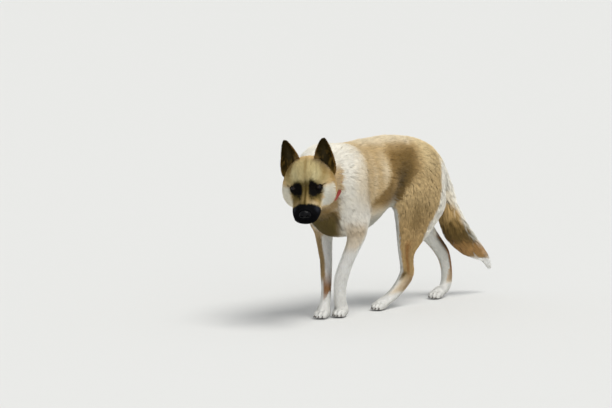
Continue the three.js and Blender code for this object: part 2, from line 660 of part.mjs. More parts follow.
// ---------------------------------------------------------------- legs, and paws with their claws
const legBox = {
  foreleg_left: [[-60, -110, -30], [160, 240, 390]],
  foreleg_right: [[-160, -130, -30], [70, 240, 390]],
  hindleg_left: [[-70, 160, -30], [160, 700, 460]],
  hindleg_right: [[-160, 160, -30], [70, 790, 460]],
};
for (const name in legs) {
  const hind = name.startsWith("hind");
  const planes = CUT[name];
  const [lo, hi] = legBox[name];
  const paw = CUT.paw[name];
  const f = legAt(name);
  let leg = surface(f, lo, hi, hind ? CELL.hindleg : CELL.foreleg, [...planes, flip(paw)], [], { stretch: [1, 1, 1.7] });
  planes.forEach((c, i) => (leg = trim(leg, c, i === 2 ? GAP : 0)));
  leg = trim(leg, flip(paw), GAP / 2);
  node(name, largest(leg), hind ? TAN : WHITE);

  const k = paws[name];
  const c = k.place(0, 0, 20);
  let foot = surface(f, [c[0] - 60, c[1] - 72, -22], [c[0] + 60, c[1] + 78, 84], CELL.paw, [paw]);
  foot = trim(trim(foot, paw, GAP / 2), CUT.floor);
  for (const [l, f0] of [[-16.5, 14], [-6.2, 22], [6.2, 22], [16.5, 14]]) {
    const from = k.place(l, f0 + 10, 12),
      to = k.place(l * 1.02, f0 + 23, 5.5);
    const axis = new THREE.Vector3(...add(to, from, -1));
    const claw = new THREE.CylinderGeometry(0.8, 3.2, axis.length(), 6, 1);
    claw.applyQuaternion(new THREE.Quaternion().setFromUnitVectors(new THREE.Vector3(0, 1, 0), axis.clone().normalize()));
    claw.translate((from[0] + to[0]) / 2, (from[1] + to[1]) / 2, (from[2] + to[2]) / 2);
    foot = foot.add(fromGeometry(claw));
  }
  node("paw_" + name.replace("foreleg", "fore").replace("hindleg", "hind"), largest(foot), WHITE);
}

// ---------------------------------------------------------------- head
// Drawn on a grid of the head's own, with a row of vertices down the middle of the face.
const s = HEAD.scale;
const headCell = CELL.head / s;
const fromGrid = ([r, f, u]) => headPoint([-r, f, u]); // right, forward, up
const toGrid = (v) => HEAD_AXES.map((a, i) => dot(a, v) * (i ? 1 : -1));
const headCut = { at: toGrid(add(CUT.head.at, HEAD.at, -1)).map((v) => v / s), n: toGrid(CUT.head.n) };
let head = surface((...p) => headAt(...fromGrid(p)) / s, [-12.5 * headCell, -200, -130], [12.5 * headCell, 125, 110], headCell, [headCut], [], { place: fromGrid });
head = trim(head, CUT.head, GAP / 2);

// ears: a leaf-shaped shell, hollow in front
function ear(side, grow = 0) {
  const half = 6;
  const rings = EAR.map(([l, f, u, w, back, front]) => {
    const [W, B, H] = [w * s + grow, back * s + grow, front * s - grow];
    const c = headPoint([l * side + (side > 0 ? 1 : 3), f, u]);
    const S = unit(headDir([side, -0.16, 0])),
      D = unit(headDir([-0.16 * side, -1, 0.22]));
    const at = (x, d) => add(add(c, S, x), D, d);
    const ring = [];
    for (let i = 0; i <= half; i++) {
      const a = (Math.PI * i) / half;
      ring.push(at(W * Math.cos(a), B * Math.sin(a)));
    }
    for (let i = half; i >= 0; i--) {
      const a = (Math.PI * i) / half;
      ring.push(at((w * s - 1.2 - grow) * Math.cos(a), H * Math.sin(a) - 2.4 - 2 * grow));
    }
    return ring;
  });
  if (grow) rings[0] = rings[0].map((p) => add(p, HEAD_AXES[2], -2 * grow));
  let e = loft(rings);
  if (e.volume() < 0) e = loft(rings.map((r) => [...r].reverse()));
  return e;
}
for (const [name, side] of [["ear_left", 1], ["ear_right", -1]]) {
  node(name, ear(side), BROWN);
  head = head.subtract(ear(side, 1.5 * GAP));
}

// eyes, in open sockets
for (const [name, side] of [["eye_left", 1], ["eye_right", -1]]) {
  const c = headPoint([EYE.side * side, EYE.deep, 0]);
  const ball = (r, n) => fromGeometry(new THREE.SphereGeometry(r, n, n / 2).translate(...c));
  node(name, ball(EYE.radius, 12), BLACK, 0.15);
  head = head.subtract(ball(EYE.radius + GAP * 2.2, 16));
}

// nose leather with its two nostrils, let into the end of the muzzle
const noseAt = (grow) => (x, y, z) => {
  const q = [new Ball(headPoint([0, 91, -41]), [19 * s + grow, 15 * s + grow, 15 * s + grow], { axes: HEAD_AXES, blend: 5 })];
  let f = fold(q, x, y, z);
  if (!grow)
    for (const k of [1, -1]) {
      const hole = new Ball(headPoint([9.5 * k, 105, -43]), [4 * s, 6 * s, 3.4 * s], { axes: HEAD_AXES, blend: 3 });
      f = -smoothMin(-f, hole.at(x, y, z), 2.5);
    }
  return f;
};
const noseBox = [headPoint([0, 91, -41]).map((v) => v - 34), headPoint([0, 91, -41]).map((v) => v + 34)];
const nose = surface(noseAt(0), noseBox[0], noseBox[1], CELL.nose);
head = head.subtract(surface(noseAt(1.6), noseBox[0], noseBox[1], CELL.nose));
node("nose", largest(nose), BLACK, 0.4);

// the line of the mouth, a narrow slot round the muzzle
const lip = (half, from, to, thick) => {
  const b = new THREE.BoxGeometry(2 * half * s, (to - from) * s, thick).translate(0, ((from + to) / 2) * s, -65.2 * s);
  const [L, F, U] = HEAD_AXES;
  b.applyMatrix4(new THREE.Matrix4().makeBasis(new THREE.Vector3(...L), new THREE.Vector3(...F), new THREE.Vector3(...U)).setPosition(...HEAD.at));
  return fromGeometry(b);
};
head = head.subtract(lip(70, 30, 130, 1.4).subtract(lip(34, 10, 82, 4)));
node("head", largest(head), CREAM);

export default group;
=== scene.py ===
# A life-size shepherd-type dog in mid stride: skin, coat of solid locks, eyes, nose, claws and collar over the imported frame.
import math
import bpy
import numpy as np
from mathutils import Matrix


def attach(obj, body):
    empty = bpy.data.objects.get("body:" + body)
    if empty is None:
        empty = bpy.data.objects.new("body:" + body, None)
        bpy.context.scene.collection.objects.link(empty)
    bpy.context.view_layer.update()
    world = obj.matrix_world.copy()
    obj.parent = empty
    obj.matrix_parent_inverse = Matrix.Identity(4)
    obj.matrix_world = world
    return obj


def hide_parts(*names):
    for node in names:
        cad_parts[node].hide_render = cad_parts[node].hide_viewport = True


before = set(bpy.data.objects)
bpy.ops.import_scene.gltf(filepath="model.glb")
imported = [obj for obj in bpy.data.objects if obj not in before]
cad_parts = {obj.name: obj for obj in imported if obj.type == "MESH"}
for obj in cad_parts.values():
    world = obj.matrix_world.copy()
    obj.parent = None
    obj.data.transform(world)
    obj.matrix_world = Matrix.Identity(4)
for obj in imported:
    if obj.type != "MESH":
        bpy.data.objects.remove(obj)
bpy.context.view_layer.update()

RNG = np.random.default_rng(7)
F4 = np.float32

# ------------------------------------------------------------------ sizes, in millimetres, as in the frame's own source
CENTRE = np.array([24.56, 265.5, 0.0])
HEAD_AT = np.array([106, -263.9, 479.4])
HEAD_YAW, HEAD_PITCH, HEAD_ROLL, HEAD_SCALE = 34, 23, 4.2, 1.12
EYE_SIDE, EYE_DEEP, EYE_R = 37.5, -2.6, 11.8
COLLAR_AT = np.array([37, -125.4, 487.6])
COLLAR_N = np.array([0.42, -0.88, 0.2]); COLLAR_N = COLLAR_N / np.linalg.norm(COLLAR_N)
COLLAR_WIDTH, COLLAR_OUTER, COLLAR_INNER, COLLAR_GROOVE, COLLAR_SPREAD = 18, 8, 12.5, 9, 13

TRUNK = [[16, -105, 430, 62, 76, 80], [10, -65, 455, 94, 112, 135], [2, -10, 462, 112, 142, 172], [0, 60, 455, 110, 155, 178],
         [-2, 130, 462, 110, 154, 172], [-4, 210, 485, 106, 141, 150], [-4, 300, 510, 94, 118, 122], [-2, 390, 510, 90, 112, 108],
         [0, 460, 498, 90, 110, 100], [2, 520, 482, 78, 98, 92], [4, 566, 462, 60, 80, 80], [5, 598, 444, 42, 56, 62]]
NECK = [[60, -176, 488, 86, 78, 96], [44, -140, 490, 90, 84, 104], [22, -80, 490, 96, 92, 112], [6, -20, 490, 98, 98, 120]]
TAIL = [[4, 590, 486, 34, 34, 36], [5, 625, 450, 34, 36, 36], [6, 646, 416, 36, 37, 37], [8, 663, 359, 42, 44, 44],
        [12, 680, 306, 46, 51, 51], [18, 710, 252, 48, 54, 54], [24, 743, 218, 46, 49, 49], [28, 776, 192, 40, 42, 42],
        [34, 813, 168, 30, 32, 32], [39, 848, 145, 19, 20, 20], [42, 870, 124, 11, 12, 12], [44, 888, 100, 5, 6, 6]]
FORELEG_LEFT = [[62, 4, 480, 34, 60, 60], [76, 10, 420, 38, 66, 70], [82, 40, 350, 35, 56, 62], [80, 46, 300, 30, 38, 42],
                [72, 33, 256, 24, 31, 32], [60, 21, 215, 22, 27, 28], [47, 12, 172, 22, 27, 28], [36, 9, 135, 23, 26, 28],
                [29, 12, 98, 21, 23, 26], [24, 20, 58, 21, 21, 25], [22, 28, 34, 22, 22, 22]]
FORELEG_RIGHT = [[-62, 4, 480, 34, 60, 60], [-76, 10, 420, 38, 66, 70], [-82, 42, 350, 35, 56, 62], [-80, 52, 300, 30, 40, 42],
                 [-70, 46, 258, 25, 34, 36], [-58, 36, 222, 22, 29, 30], [-45, 25, 188, 20, 25, 26], [-32, 10, 150, 19, 22, 24],
                 [-22, -2, 115, 18, 19, 20], [-14, -13, 80, 18, 17, 18], [-8, -26, 50, 19, 18, 19], [-4, -38, 34, 21, 20, 20]]
HINDLEG_LEFT = [[44, 468, 545, 34, 50, 50], [54, 456, 480, 50, 100, 98], [62, 438, 405, 54, 134, 150], [62, 424, 360, 47, 124, 154],
                [60, 408, 315, 40, 96, 130], [57, 388, 272, 33, 72, 92], [53, 374, 233, 27, 54, 62], [49, 370, 200, 23, 39, 43],
                [43, 377, 163, 21, 30, 33], [37, 385, 122, 21, 33, 33], [32, 366, 88, 19, 26, 30], [28, 334, 58, 18, 20, 27],
                [24, 300, 38, 19, 18, 22], [22, 270, 28, 20, 18, 18]]
HINDLEG_RIGHT = [[-44, 474, 545, 34, 50, 50], [-54, 486, 480, 50, 96, 96], [-60, 512, 405, 50, 84, 84], [-60, 534, 350, 42, 72, 74],
                 [-56, 566, 300, 34, 54, 56], [-50, 606, 262, 28, 40, 42], [-44, 643, 225, 23, 32, 34], [-36, 672, 192, 20, 30, 32],
                 [-29, 690, 163, 19, 32, 31], [-22, 697, 134, 19, 27, 28], [-16, 698, 99, 18, 25, 26], [-12, 692, 60, 18, 26, 26],
                 [-10, 674, 34, 19, 21, 22], [-7, 642, 26, 20, 18, 18]]
PAWS = [([22, 24], 14, 1.0), ([-4, -43], 8, 1.0), ([20, 248], 4, 0.96), ([-6, 622], 6, 0.96)]
BRIDGE = [[0, -4, -17, 22, 18, 22], [0, 30, -25, 21, 16, 20], [0, 62, -33.5, 21, 15.5, 19], [0, 86, -40, 20, 14, 16]]
JAWS = [[0, -10, -48, 46, 30, 36], [0, 25, -50, 45, 29, 33], [0, 58, -56, 42, 25, 29], [0, 80, -60, 36, 22, 24]]
EAR = [[60, -72, -8, 12, 9, -4], [62, -72, 6, 22, 13, -4], [57, -72, 26, 31, 19, 1], [54, -72, 46, 33, 20, 9], [53, -72, 64, 31, 18, 12],
       [54, -69, 84, 26.5, 14.5, 10], [56, -66, 104, 20, 11, 7.2], [58, -63, 121, 13, 7.5, 4.4], [60, -60, 136, 5, 4, 1.6]]


def unit(v):
    v = np.asarray(v, float)
    return v / np.maximum(np.linalg.norm(v, axis=-1, keepdims=True), 1e-12)


def step(a, b, x):
    """0 below a, 1 above b, smooth between."""
    t = np.clip((x - a) / (b - a), 0, 1)
    return t * t * (3 - 2 * t)


_y, _p, _r = map(math.radians, (HEAD_YAW, HEAD_PITCH, HEAD_ROLL))
_F = np.array([math.sin(_y) * math.cos(_p), -math.cos(_y) * math.cos(_p), -math.sin(_p)])
_L0 = np.array([math.cos(_y), math.sin(_y), 0])
_U0 = np.cross(_F, _L0)
HEAD_AXES = np.array([_L0 * math.cos(_r) + _U0 * math.sin(_r), _F, -_L0 * math.sin(_r) + _U0 * math.cos(_r)])


def head_point(v):
    return HEAD_AT + HEAD_SCALE * (np.asarray(v, float) @ HEAD_AXES)


def to_head(p):
    return ((p - HEAD_AT) @ HEAD_AXES.T) / HEAD_SCALE


def spline(rows, n=5):
    P = np.asarray(rows, float)
    P = np.vstack([2 * P[0] - P[1], P, 2 * P[-1] - P[-2]])
    out = []
    for i in range(1, len(P) - 2):
        a, b, c, d = P[i - 1: i + 3]
        for j in range(n):
            t = j / n
            out.append(0.5 * (2 * b + (c - a) * t + (2 * a - 5 * b + 4 * c - d) * t * t + (3 * b - a - 3 * c + d) * t ** 3))
    out.append(P[-2])
    return np.array(out)


class Tube:
    """A tube with egg-shaped sections along a curved line."""

    def __init__(self, rows, side=(1, 0, 0), cap=(0.9, 0.9), blend=30.0):
        R = spline(rows)
        self.P, self.r = R[:, :3], np.maximum(R[:, 3:6], 1)
        self.blend, self.cap = blend, cap
        n = len(R)
        T = unit(self.P[np.minimum(np.arange(n) + 1, n - 1)] - self.P[np.maximum(np.arange(n) - 1, 0)])
        side = unit(side)
        self.T = T
        self.S = unit(side - (T @ side)[:, None] * T)
        self.V = np.cross(self.S, T)
        m = self.r.max(1)[:, None]
        self.lo, self.hi = (self.P - m).min(0), (self.P + m).max(0)

    def at(self, p, more=False):
        n, N = len(self.P), len(p)
        best = np.full(N, 1e9, F4)
        along = np.zeros(N, F4) if more else None
        angle = np.zeros(N, F4) if more else None
        reach = self.blend + 8 if not more else 400
        for i in range(n - 1):
            A, B = self.P[i], self.P[i + 1]
            m = max(self.r[i].max(), self.r[i + 1].max()) + reach
            lo, hi = np.minimum(A, B) - m, np.maximum(A, B) + m
            near = np.nonzero((p[:, 0] > lo[0]) & (p[:, 0] < hi[0]) & (p[:, 1] > lo[1]) & (p[:, 1] < hi[1]) & (p[:, 2] > lo[2]) & (p[:, 2] < hi[2]))[0]
            if not len(near):
                continue
            q0 = p[near] - A.astype(F4)
            d = (B - A).astype(F4)
            t = np.clip(q0 @ d / F4(d @ d), 0, 1)
            q = q0 - t[:, None] * d
            S0, S1, V0, V1 = (a.astype(F4) for a in (self.S[i], self.S[i + 1], self.V[i], self.V[i + 1]))
            u = q @ S0 + t * (q @ (S1 - S0))
            v = q @ V0 + t * (q @ (V1 - V0))
            r0, r1 = self.r[i], self.r[i + 1]
            a = F4(r0[0]) + t * F4(r1[0] - r0[0])
            b = np.where(v > 0, F4(r0[1]) + t * F4(r1[1] - r0[1]), F4(r0[2]) + t * F4(r1[2] - r0[2]))
            q2 = np.einsum("ij,ij->i", q, q)
            w2 = np.maximum(q2 - u * u - v * v, 0)
            c = F4(self.cap[0] if i < n / 2 else self.cap[1]) * np.minimum(a, F4(0.5 * (r0[1] + r0[2])) + t * F4(0.5 * (r1[1] + r1[2] - r0[1] - r0[2])))
            rho = np.sqrt((u / a) ** 2 + (v / b) ** 2 + w2 / (c * c)) + F4(1e-9)
            f = (np.sqrt(q2) + F4(1e-9)) * (1 - 1 / rho)
            less = f < best[near]
            k = near[less]
            best[k] = f[less]
            if more:
                along[k] = i + t[less]
                angle[k] = np.arctan2(u[less], v[less])
        return (best, along, angle) if more else best


class Ball:
    def __init__(self, middle, radii, axes=np.eye(3), blend=20.0):
        self.c, self.r, self.axes, self.blend = np.asarray(middle, float), np.asarray(radii, float), np.asarray(axes, float), blend
        self.lo, self.hi = self.c - self.r.max(), self.c + self.r.max()

    def at(self, p):
        q = (p - self.c.astype(F4)) @ self.axes.T.astype(F4)
        rho = np.sqrt(((q / self.r.astype(F4)) ** 2).sum(1)) + F4(1e-9)
        return (np.sqrt((q * q).sum(1)) + F4(1e-9)) * (1 - 1 / rho)


def smooth_min(a, b, k):
    h = np.maximum(k - np.abs(a - b), 0) / k
    return np.minimum(a, b) - h * h * (k * 0.25)


def smooth_max(a, b, k):
    return -smooth_min(-a, -b, k)


def fold(parts, p, start=None):
    r = start
    for q in parts:
        d = np.maximum(np.maximum(q.lo.astype(F4) - p, p - q.hi.astype(F4)), 0)
        far = np.sqrt((d * d).sum(1))
        v = far + F4(20)
        near = np.nonzero(far < 60)[0]
        if len(near) == len(p):
            v = q.at(p)
        elif len(near):
            v[near] = q.at(p[near])
        r = v if r is None else smooth_min(r, v, F4(q.blend))
    return r


def head_ball(c, r, k, side=0):
    return Ball(head_point(c), np.asarray(r, float) * HEAD_SCALE, HEAD_AXES, k * HEAD_SCALE)


def head_tube(rows, k, cap=(0.8, 0.5)):
    rows = [[*head_point(r[:3]), *(np.array(r[3:]) * HEAD_SCALE)] for r in rows]
    return Tube(rows, side=HEAD_AXES[0], cap=cap, blend=k * HEAD_SCALE)


BODY = [Tube(TRUNK, cap=(0.5, 0.8), blend=40), Tube(NECK, side=(0.85, 0.5, 0), cap=(0.8, 0.8), blend=60),
        Ball([58, 0, 505], [52, 92, 92], blend=60), Ball([-58, 0, 505], [52, 92, 92], blend=60)]
TAIL_TUBE = Tube(TAIL, cap=(0.9, 1.6), blend=26)
SKULL = [head_ball([0, -64, 8], [66, 70, 60], 20),
         head_ball([24, -17, 14], [28, 21, 19], 18), head_ball([-24, -17, 14], [28, 21, 19], 18),
         head_ball([41, -46, -32], [42, 48, 54], 26), head_ball([-41, -46, -32], [42, 48, 54], 26),
         head_ball([33, -16, -19], [25, 25, 23], 16), head_ball([-33, -16, -19], [25, 25, 23], 16),
         head_tube(JAWS, 22), head_tube(BRIDGE, 16)]


def paw_frame(at, turn, size):
    a = math.radians(turn)
    Fw, L = np.array([math.sin(a), -math.cos(a), 0]), np.array([math.cos(a), math.sin(a), 0])
    place = lambda l, f, u: np.array([at[0], at[1], 0]) + size * (l * L + f * Fw + u * np.array([0, 0, 1.0]))
    return Fw, L, place


TOES = [(-16.5, 14), (-6.2, 22), (6.2, 22), (16.5, 14)]


def paw_balls(at, turn, size):
    Fw, L, place = paw_frame(at, turn, size)
    U = np.array([0, 0, 1.0])
    dip = math.radians(22)
    tF, tU = Fw * math.cos(dip) - U * math.sin(dip), Fw * math.sin(dip) + U * math.cos(dip)
    out = [Ball(place(0, -6, 19), np.array([23, 29, 22]) * size, [L, Fw, U], 14)]
    return out + [Ball(place(l, f, 15.5), np.array([8.6, 16.5, 14]) * size, [L, tF, tU], 5) for l, f in TOES]


LEGS = [[Tube(rows, blend=k), *paw_balls(*paw)] for rows, k, paw in zip(
    (FORELEG_LEFT, FORELEG_RIGHT, HINDLEG_LEFT, HINDLEG_RIGHT), (34, 34, 44, 44), PAWS)]


def groove(p):
    q = p - COLLAR_AT.astype(F4)
    s = q @ COLLAR_N.astype(F4) / COLLAR_SPREAD
    return np.where((q * q).sum(1) > 190 ** 2, 0, COLLAR_GROOVE * np.exp(-s * s)).astype(F4)


def parts_at(p):
    """The body, tail, four legs and head, each blended with the body: columns of an array."""
    base = fold(BODY, p)
    g = base + groove(p)
    skull = fold(SKULL, p)
    cols = [g, smooth_min(base, fold([TAIL_TUBE], p), F4(26))]
    cols += [smooth_min(base, fold(leg, p), F4(leg[0].blend)) for leg in LEGS]
    cols.append(smooth_min(g, skull, F4(30)))
    return np.stack(cols, 1)


def outer(p):
    """The outside of the coat, as the frame's solids have it: zero there, negative inside."""
    p = np.ascontiguousarray(p, F4)
    return parts_at(p).min(1)


# ------------------------------------------------------------------ the skin: inside the solids by the depth of the coat
def raw_parts(p):
    base = fold(BODY, p)
    return base, fold([TAIL_TUBE], p), [fold(leg, p) for leg in LEGS], fold(SKULL, p)


def combine(p, raw):
    base, tail, legs, skull = raw
    g = base + groove(p)
    f = np.minimum(g, smooth_min(g, tail, F4(26)))
    for leg, v in zip(LEGS, legs):
        f = np.minimum(f, smooth_min(g, v, F4(leg[0].blend)))
    return np.minimum(f, smooth_min(g, skull, F4(30)))


def shares(raw, soft=9.0):
    """How much of a point on the surface belongs to the body, the tail, each leg and the head."""
    v = np.stack([raw[0], raw[1], *raw[2], raw[3]], 1)
    w = np.exp(-np.clip(v - v.min(1, keepdims=True), 0, 200) / soft)
    return w / w.sum(1, keepdims=True)


def table(x, xs, ys):
    return np.interp(x, xs, ys).astype(F4)


def depth_of(p, raw):
    """Thickness of the coat over the skin."""
    w = shares(raw, 7.0)
    x, y, z = p[:, 0], p[:, 1], p[:, 2]
    body = table(y, [-180, -100, -20, 60, 200, 420, 560], [25, 27, 24, 21, 19, 20, 20]) * table(z, [280, 330, 400, 520], [0.75, 0.8, 1.0, 1.0])
    tail = table(y, [590, 650, 700, 776, 813, 848, 870, 888], [18, 23, 29, 24, 17, 10, 6, 2.6])
    fore = table(z, [0, 40, 100, 220, 290, 360, 430], [2.0, 2.4, 3.6, 4.6, 8, 15, 20])
    hind = table(z, [0, 40, 120, 200, 260, 330, 400], [2.0, 2.4, 4.0, 5.5, 10, 17, 20])
    h = to_head(p)
    l, f, u = np.abs(h[:, 0]), h[:, 1], h[:, 2]
    head = 1.9 + 1.6 * step(40, 5, f) + 2.5 * step(5, -30, f) + 10 * step(-25, -95, f) + 4 * step(-5, -60, f) * step(20, 50, l) * step(15, -25, u)
    d = w[:, 0] * body + w[:, 1] * tail + (w[:, 2] + w[:, 3]) * fore + (w[:, 4] + w[:, 5]) * hind + w[:, 6] * head
    return d.astype(F4)


def ear_shell(p):
    """Both ears as thin cupped leaves; negative inside. In millimetres."""
    out = np.full(len(p), 60, F4)
    h = to_head(p).astype(F4)
    rows = spline(EAR, 4)
    for side in (1, -1):
        near = np.nonzero((h[:, 0] * side > 15) & (h[:, 0] * side < 105) & (h[:, 1] > -105) & (h[:, 1] < -35) & (h[:, 2] > -22) & (h[:, 2] < 146))[0]
        if not len(near):
            continue
        q = h[near]
        S, D = unit([side, -0.16, 0]), unit([-0.16 * side, -1, 0.22])
        u = q[:, 2].copy()
        for _ in range(3):
            c = [np.interp(u, rows[:, 2], rows[:, i]) for i in (0, 1)]
            dl, df = q[:, 0] - (c[0] * side + (1 if side > 0 else 3)), q[:, 1] - c[1]
            d = (dl * D[0] + df * D[1]) / (D[0] ** 2 + D[1] ** 2)
            u = q[:, 2] - D[2] * d
        x = dl * S[0] + df * S[1]
        W, B, H = (np.interp(u, rows[:, 2], rows[:, i]) * HEAD_SCALE for i in (3, 4, 5))
        x, d = x * HEAD_SCALE, d * HEAD_SCALE
        W = np.maximum(W - 1.6, 1)
        r = np.sqrt(np.maximum(1 - (x / W) ** 2, 0))
        mid = (B - 1.4) * r * 0.5 + (H * r - 1.6) * 0.5
        half = 1.3 + np.clip(B - H - 3, 0, 22) * 0.26 * r ** 2
        slope = 1 / np.sqrt(1 + np.minimum((0.5 * (B + H) * x / (W * W) / np.maximum(r, 0.25)) ** 2, 6))
        e = (np.abs(d - mid) - half) * slope
        e = np.maximum(e, np.abs(x) - W + 0.6)
        e = np.maximum(e, (u - 131) * HEAD_SCALE)
        e = np.maximum(e, (-7 - u) * HEAD_SCALE)
        out[near] = np.minimum(out[near], e)
    return out


def eye_frame(side):
    c = head_point([EYE_SIDE * side, EYE_DEEP, 0])
    g = unit(np.array([0.34 * side, 0.88, 0.33]) @ HEAD_AXES)
    r = unit(HEAD_AXES[0] - g * (HEAD_AXES[0] @ g))
    # the outer corner of the lids lies a little higher than the inner one
    up = np.cross(r, g); up = up * np.sign(up @ HEAD_AXES[2])
    tilt = math.radians(13) * side
    r, up = r * math.cos(tilt) + up * math.sin(tilt), up * math.cos(tilt) - r * math.sin(tilt)
    return c, g, r, up


def almond(a, b):
    """Negative inside the opening between the lids; a and b in eye radii, across and up."""
    hi = 0.56 * np.maximum(1 - (np.abs(a) / 0.93) ** 2.0, -0.4)
    lo = -0.44 * np.maximum(1 - (np.abs(a) / 0.93) ** 2.2, -0.4)
    return np.maximum(b - hi, lo - b)


NOSE_AT = [0, 91, -41]


def details(p, s):
    """Adds lids, lips, the nose's socket and the furrow of the face to the head's skin."""
    h = to_head(p).astype(F4)
    near = np.nonzero((h[:, 1] > -70) & (np.abs(h[:, 0]) < 80) & (np.abs(h[:, 2] + 20) < 110))[0]
    if not len(near):
        return s
    q, v, H = p[near], s[near], h[near]
    l, f, u = np.abs(H[:, 0]), H[:, 1], H[:, 2]
    # furrow from the nose to the brow, hollow before the eyes, rise over each eye
    v = v + 1.6 * np.exp(-(l / 7) ** 2) * step(30, 5, f) * step(60, 20, u) * step(-20, 5, f)
    v = v - 1.0 * np.exp(-((l - 30) / 14) ** 2 - ((u - 14) / 9) ** 2) * step(-25, 0, f)
    # whisker pads and the fall of the upper lip
    v = v - 1.4 * np.exp(-((l - 24) / 12) ** 2 - ((f - 66) / 20) ** 2 - ((u + 54) / 12) ** 2)
    # mouth: a line from under the nose back along each side, lifting at its corner
    line = -65 + 3.5 * np.exp(-(l / 9) ** 2) * step(70, 85, f) + 11 * step(52, 10, f) - 2 * step(60, 84, f)
    m = np.exp(-((u - line) / 1.35) ** 2) * step(10, 22, f)
    v = v + 3.2 * m
    v = v + 1.2 * np.exp(-((u - line + 4) / 3.5) ** 2) * step(14, 30, f)
    # the cleft of the upper lip
    v = v + 2.2 * np.exp(-(H[:, 0] / 1.5) ** 2) * step(70, 80, f) * step(-67, -62, u) * step(-47, -53, u)
    for side in (1, -1):
        c, g, r, up = eye_frame(side)
        d = (q - c.astype(F4)).astype(F4)
        R = np.sqrt((d * d).sum(1))
        k = np.nonzero(R < 40)[0]
        if not len(k):
            continue
        d, R = d[k], R[k]
        a, b, w = d @ r.astype(F4) / EYE_R, d @ up.astype(F4) / EYE_R, d @ g.astype(F4)
        t = v[k]
        t = t + 0.6 * np.exp(-((R - EYE_R - 8) / 4.5) ** 2) * step(0, 6, w)  # the hollow round the ball
        lid = np.maximum(R - (EYE_R + 1.1), -w - 2)
        t = smooth_min(t, lid, F4(7.5))
        open_ = np.maximum(np.maximum(almond(a, b) * EYE_R, EYE_R - 2.2 - R), -w)
        v[k] = smooth_max(t, -open_, F4(0.7))
    # the leather of the nose is let in here
    n = np.sqrt((((H - np.array(NOSE_AT, F4)) / np.array([19, 15, 15], F4)) ** 2).sum(1))
    v = smooth_max(v, -(n - 0.93) * 16, F4(1.2))
    s = s.copy()
    s[near] = v
    return s


def skin_at(p, fine=True):
    p = np.ascontiguousarray(p, F4)
    raw = raw_parts(p)
    s = combine(p, raw) + depth_of(p, raw)
    if fine:
        s = smooth_min(s, ear_shell(p), F4(5))
        s = details(p, s)
    return s


CORNER = np.array([[i, j, k] for i in (0, 1) for j in (0, 1) for k in (0, 1)])
EDGE = [(a, b) for a in range(8) for b in range(a + 1, 8) if np.abs(CORNER[a] - CORNER[b]).sum() == 1]


